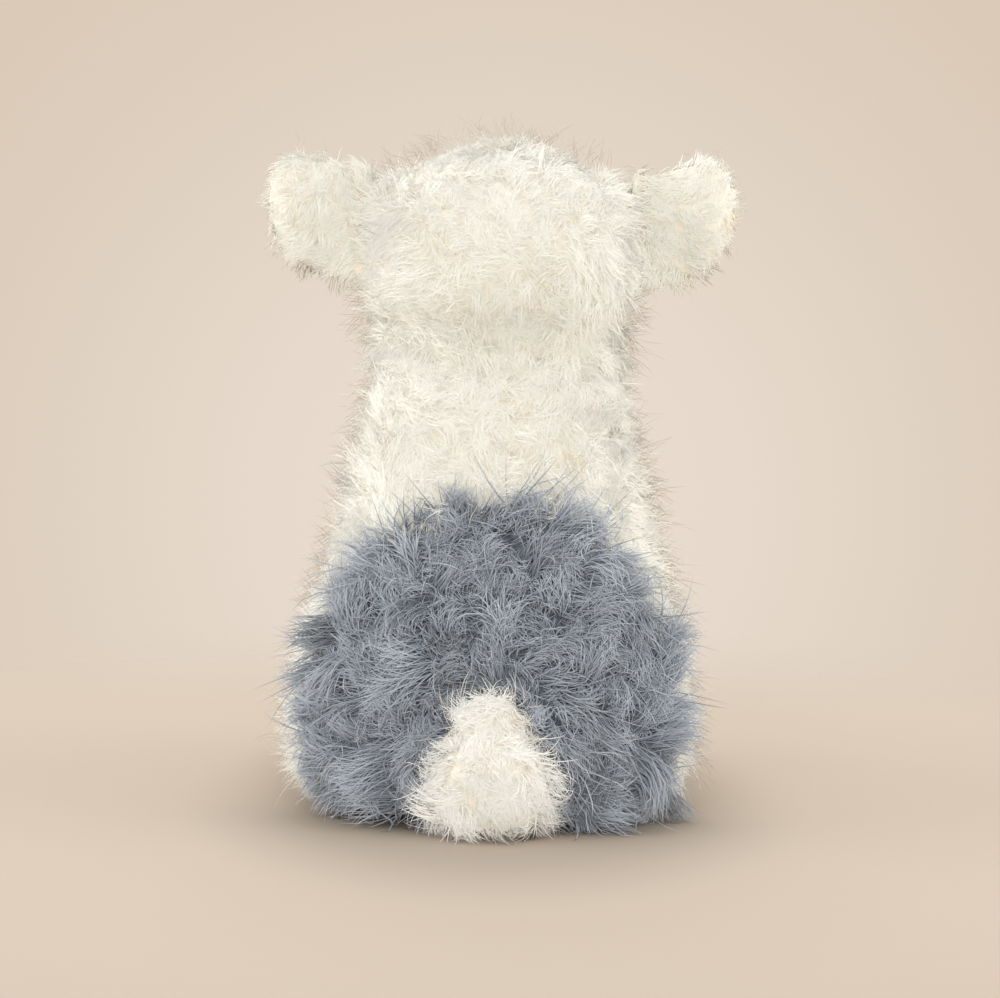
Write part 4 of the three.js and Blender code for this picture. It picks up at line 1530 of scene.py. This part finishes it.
    def _round_eyes(self, points: np.ndarray) -> np.ndarray:
        """Gives the share of its length that the pile keeps: less close to the eyes."""
        return np.maximum(self.eye_edge(self._from_eyes(points)), self.eye_kept).prod(axis=0)

    def _on_muzzle(self, points: np.ndarray, normals: np.ndarray) -> np.ndarray:
        """Leaves the nose and the seam to the head free.

        Args:
            points: The places.
            normals: The cover's normals there.

        Returns:
            1 for each place that carries pile, and 0 elsewhere.
        """
        low, high = (np.array(corner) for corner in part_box("nose"))
        near = np.all((points > low - self.nose_room) & (points < high + self.nose_room), axis=1)
        return ~near * self.muzzle_front(points, normals)


@dataclass
class Ear:
    """A flat padded ear: long pile behind and round its rim, short pile within."""

    side: int
    pile_depth: float = 0.0045
    root: Point = (0.06, -0.014, 0.345)
    behind: Region = Region(facing_y=(-0.35, FAR))
    within: Region = Region(facing_y=(-FAR, -0.35))
    tip: Step = Step(0.108, 0.02)
    hem: Step = Step(0.315, -0.012)
    hem_cut: float = 0.6
    long: Cut = Cut(density=700_000, length=(0.010, 0.016), lean=(54.0, 76.0), bend=16.0, curl=40.0)
    short: Cut = Cut(
        density=450_000, length=(0.008, 0.013), lean=(45.0, 70.0), width=0.0007, bend=20.0, curl=40.0,
        spacing=0.007, wild=0.04,
    )
    guard: Cut = Cut(
        density=130_000, length=(0.015, 0.024), lean=(30.0, 60.0), bend=20.0, curl=50.0, spacing=0.005,
        gather=0.5, wild=0.1, wild_reach=1.1,
    )

    def build(self) -> None:
        """Models the ear's cover."""
        self.name = side_name(self.side) + "_ear"
        self.cover = Cover(
            self.name + "_padding", self.name, (self.name + "_back", self.name + "_lining"), Slot.CREAM,
            self.pile_depth, voxel=0.003, fill=0.4, lump=0.001, lump_size=0.02,
        )
        self.cover.build()

    def dress(self) -> None:
        """Gives the ear its finish and pile."""
        self.cover.dress(CREAM_UNDERPILE)
        root = (self.side * self.root[0], *self.root[1:])
        comb = Comb(root, 1.0, along=(0, 0, -0.15), swirl=35.0, lock_turn=25.0)
        name, ear, cut = self.name, self.cover, self._tip_and_hem
        grow_all(
            Pile(name + "_pile", ear, self.long, comb, CREAM_PILE, 31, self.behind, cut),
            Pile(name + "_guard", ear, self.guard, comb, SHADED_GUARD_PILE, 33, ON_FLANKS, cut),
            Pile(name + "_lining_pile", ear, self.short, comb, SHORT_PILE, 32, self.within),
        )

    def _tip_and_hem(self, points: np.ndarray) -> np.ndarray:
        """Gives the share of its length that the pile keeps: less at the ear's tip and lower edge."""
        return 1 - self.hem_cut * np.maximum(self.tip(np.abs(points[:, 0])), self.hem(points[:, 2]))


@dataclass
class Leg:
    """A stuffed leg, front or hind, with its pile."""

    name: str
    seed: int
    sole: str = ""
    pile_depth: float = 0.0045
    cream: Cut = Cut(
        density=225_000, length=(0.012, 0.018), lean=(35.0, 65.0), width=0.0009, bend=25.0, curl=45.0,
        wild_reach=1.25,
    )

    def build(self) -> None:
        """Models the leg's cover and its sole."""
        self.cover = Cover(
            self.name + "_padding", self.name, (self.name + "_coat", self.name + "_filling"), Slot.CREAM,
            self.pile_depth, voxel=0.0035, fill=0.8,
        )
        self.cover.build()
        if self.sole:
            self.pad = Cover(
                self.sole + "_pad", self.name, (self.sole,), Slot.CLOTH,
                depth=-0.0006, voxel=0.0009, fill=0.8, lump=0.0003, lump_size=0.008,
            )
            self.pad.build()

    def dress(self) -> None:
        """Gives the leg its finish and pile."""
        self.cover.dress(CREAM_UNDERPILE)
        if self.sole:
            self.pad.dress(SEAT_CLOTH)
        joint = next(j for j in frame["joints"] if j["child"] == self.name)
        comb = Comb(tuple(joint["pos_m"]), 1.0, along=(0, 0, -0.3), swirl=40.0)
        grows = self._off_sole if self.sole else EVERYWHERE
        name, leg = self.name + "_pile", self.cover
        Pile(name, leg, self.cream, comb, CREAM_PILE, self.seed, grows, clear=0.0).grow()

    def _off_sole(self, points: np.ndarray, normals: np.ndarray) -> np.ndarray:
        """Leaves the round sole free.

        Args:
            points: The places.
            normals: The cover's normals there.

        Returns:
            1 for each place that carries pile, and 0 elsewhere.
        """
        low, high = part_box(self.sole)
        away = np.linalg.norm(points - np.array((low + high) / 2), axis=1)
        return (away > (high.x - low.x) / 2).astype(float)


@dataclass
class Tail:
    """The white teardrop tail."""

    pile_depth: float = 0.006
    root: Shallow = Shallow((0.0, 0.11, 0.055), radius=0.045, share=0.0)
    whorl: Point = (0, 0.10, 0.085)
    white: Cut = Cut(
        density=400_000, length=(0.013, 0.022), lean=(28.0, 62.0), rings=3, bend=35.0, curl=115.0,
        spacing=0.012, gather=0.85, wild=0.10, wild_reach=1.15,
    )
    fuzz: Cut = replace(FUZZ, density=500_000, length=(0.009, 0.016), lean=(20.0, 60.0), width=0.0006)
    tufts: Cut = Cut(
        density=90_000, length=(0.020, 0.032), lean=(10.0, 50.0), rings=4, bend=60.0, curl=130.0,
        spacing=0.011, gather=0.92, wild=0.04, wild_reach=1.1, droop=0.001,
    )

    def build(self) -> None:
        """Models the tail's cover."""
        self.cover = Cover(
            "tail_padding", "tail", ("tail_coat", "tail_filling"), Slot.WHITE, self.pile_depth,
            voxel=0.0035, shallow=(self.root,),
        )
        self.cover.build()

    def dress(self) -> None:
        """Gives the tail its finish and pile."""
        self.cover.dress(WHITE_UNDERPILE)
        comb = Comb(self.whorl, 1.0, swirl=85.0, swirl_size=0.04, lock_turn=45.0)
        grow_all(
            Pile("tail_pile", self.cover, self.white, comb, WHITE_PILE, 41, EVERYWHERE),
            Pile("tail_fuzz", self.cover, self.fuzz, comb, WHITE_PILE, 43, EVERYWHERE, clear=0.0),
            Pile("tail_tufts", self.cover, self.tufts, comb, WHITE_PILE, 44, ON_TAIL_EDGE, clear=0.0),
        )


# The studio


@dataclass(frozen=True)
class Studio:
    """The pale floor, the soft light and the camera behind the toy."""

    glow: tuple[tuple[float, Colour], ...] = (
        (0.0, (234, 222, 209)),
        (0.35, (231, 218, 205)),
        (0.55, (226, 213, 198)),
        (0.75, (222, 207, 190)),
        (1.0, (219, 202, 184)),
    )
    glow_reach: float = 0.2
    floor: Colour = (201, 186, 170)
    # A painted shadow round the toy: the floor's darkest share there, the size of its oval, and where in that oval
    # it fades.
    painted_shadow: float = 0.75
    painted_shadow_size: tuple[float, float] = (0.19, 0.30)
    painted_shadow_edge: tuple[float, float] = (0.45, 1.0)
    aim: Point = (-0.0025, 0.0, 0.177)
    width: float = 0.58
    distance: float = 1.9
    elevation: float = 5.5
    roll: float = 1.2
    sensor: float = 36.0
    floor_size: float = 60.0
    fade: tuple[float, float] = (0.30, 0.80)
    sky: float = 0.85
    lamps: tuple[tuple[Point, float, float], ...] = (
        ((0.0, -0.2, 2.2), 1.4, 4.0),
        ((0.4, 2.7, 0.7), 2.2, 31.5),
        ((-1.9, 0.3, 0.6), 1.5, 15.0),
        ((1.9, 0.3, 0.6), 1.5, 15.0),
        ((0.2, -2.4, 1.2), 1.6, 18.0),
    )

    def build(self) -> None:
        """Makes the floor, the light and the camera."""
        self._floor()
        self._world()
        self._lamps()
        self._camera()

    def _view(self) -> Vector:
        """Gives the direction from the camera to what it aims at."""
        rise = math.radians(self.elevation)
        return Vector((0, -math.cos(rise), -math.sin(rise)))

    def _floor(self) -> None:
        """Lays the floor, which keeps the toy's shadow and carries a painted shadow round it, and clears towards
        the backdrop.
        """
        bpy.ops.object.select_all(action="DESELECT")
        bpy.ops.mesh.primitive_circle_add(vertices=96, radius=self.floor_size / 2, fill_type="NGON")
        floor = bpy.context.object
        floor.name = "floor"
        made = bpy.data.materials.new("floor_paper")
        board = Board(made)
        place = board.object_place()
        # A painted shadow: the floor's colour darkens in an oval round the toy.
        near_x, near_y = (1 / size for size in self.painted_shadow_size)
        reach = board.length(board.stretched(place, (near_x, near_y, 1.0)))
        painted_shadow = board.eased(reach, *self.painted_shadow_edge)
        shade = self.painted_shadow + (1 - self.painted_shadow) * painted_shadow
        tint = board.node("ShaderNodeCombineXYZ", None, {0: shade, 1: shade, 2: shade})
        paper = board.mixed(1.0, linear(self.floor), tint, "MULTIPLY")
        near = board.node("ShaderNodeBsdfDiffuse", None, {"Color": paper})
        far = board.eased(board.length(place), *self.fade)
        seen = board.node("ShaderNodeLightPath", None, None, "Is Camera Ray")
        clear = board.node("ShaderNodeBsdfTransparent", None, {"Color": (1.0, 1.0, 1.0, 1.0)})
        board.show(board.node("ShaderNodeMixShader", None, {0: far * seen, 1: near, 2: clear}))
        floor.data.materials.append(made)

    def _world(self) -> None:
        """Makes the even light, and the backdrop with its glow behind the toy."""
        world = bpy.data.worlds.new("studio")
        bpy.context.scene.world = world
        board = Board(world)
        centre = {0: board.object_place(), 1: tuple(self._view())}
        aside = board.node("ShaderNodeVectorMath", {"operation": "CROSS_PRODUCT"}, centre)
        colour = board.ramp(board.length(aside) * (1 / self.glow_reach), self.glow)
        kinds = ("Is Camera Ray", "Is Glossy Ray", "Is Transmission Ray")
        paths = [board.node("ShaderNodeLightPath", None, None, kind) for kind in kinds]
        total = paths[0] + paths[1] + paths[2]
        seen = board.node("ShaderNodeMath", {"operation": "MINIMUM"}, {0: total, 1: 1.0})
        even = {"Color": (1.0, 1.0, 0.99, 1.0), "Strength": self.sky}
        light = board.node("ShaderNodeBackground", None, even)
        backdrop = board.node("ShaderNodeBackground", None, {"Color": colour, "Strength": 1.0})
        both = board.node("ShaderNodeMixShader", None, {0: seen, 1: light, 2: backdrop})
        board.show(both, "ShaderNodeOutputWorld")

    def _lamps(self) -> None:
        """Hangs the soft lamps, aimed at the toy."""
        for number, (place, size, power) in enumerate(self.lamps):
            data = bpy.data.lights.new(f"softbox_{number + 1}", "AREA")
            data.size = size
            data.energy = power
            lamp = bpy.data.objects.new(data.name, data)
            lamp.location = place
            lamp.rotation_euler = (Vector(self.aim) - Vector(place)).to_track_quat("-Z", "Y").to_euler()
            bpy.context.collection.objects.link(lamp)

    def _camera(self) -> None:
        """Sets the camera at the photograph's angle."""
        data = bpy.data.cameras.new("camera")
        data.sensor_width = self.sensor
        data.lens = self.sensor * self.distance / self.width
        camera = bpy.data.objects.new("camera", data)
        back = -self._view()
        camera.location = Vector(self.aim) + back * self.distance
        turn = (-back).to_track_quat("-Z", "Y").to_matrix().to_4x4()
        camera.rotation_euler = (turn @ Matrix.Rotation(math.radians(self.roll), 4, "Z")).to_euler()
        bpy.context.collection.objects.link(camera)
        bpy.context.scene.camera = camera


def main() -> None:
    """Builds the studio and the toy's sub-assemblies in order."""
    logging.basicConfig(level=logging.INFO, format="%(message)s")
    bpy.context.scene.view_settings.view_transform = "Standard"
    Studio().build()
    sides = {"left": 1, "right": -1}
    parts = [Torso(), Head(), Tail()]
    parts += [Ear(side) for side in sides.values()]
    parts += [Leg(f"{name}_front_leg", 51 + side) for name, side in sides.items()]
    parts += [Leg(f"{name}_hind_leg", 61 + side, sole=f"{name}_sole") for name, side in sides.items()]
    for part in parts:
        part.build()
        part.dress()
        LOG.info("%s is built and dressed", part.__class__.__name__)


if __name__ == "__main__":
    main()
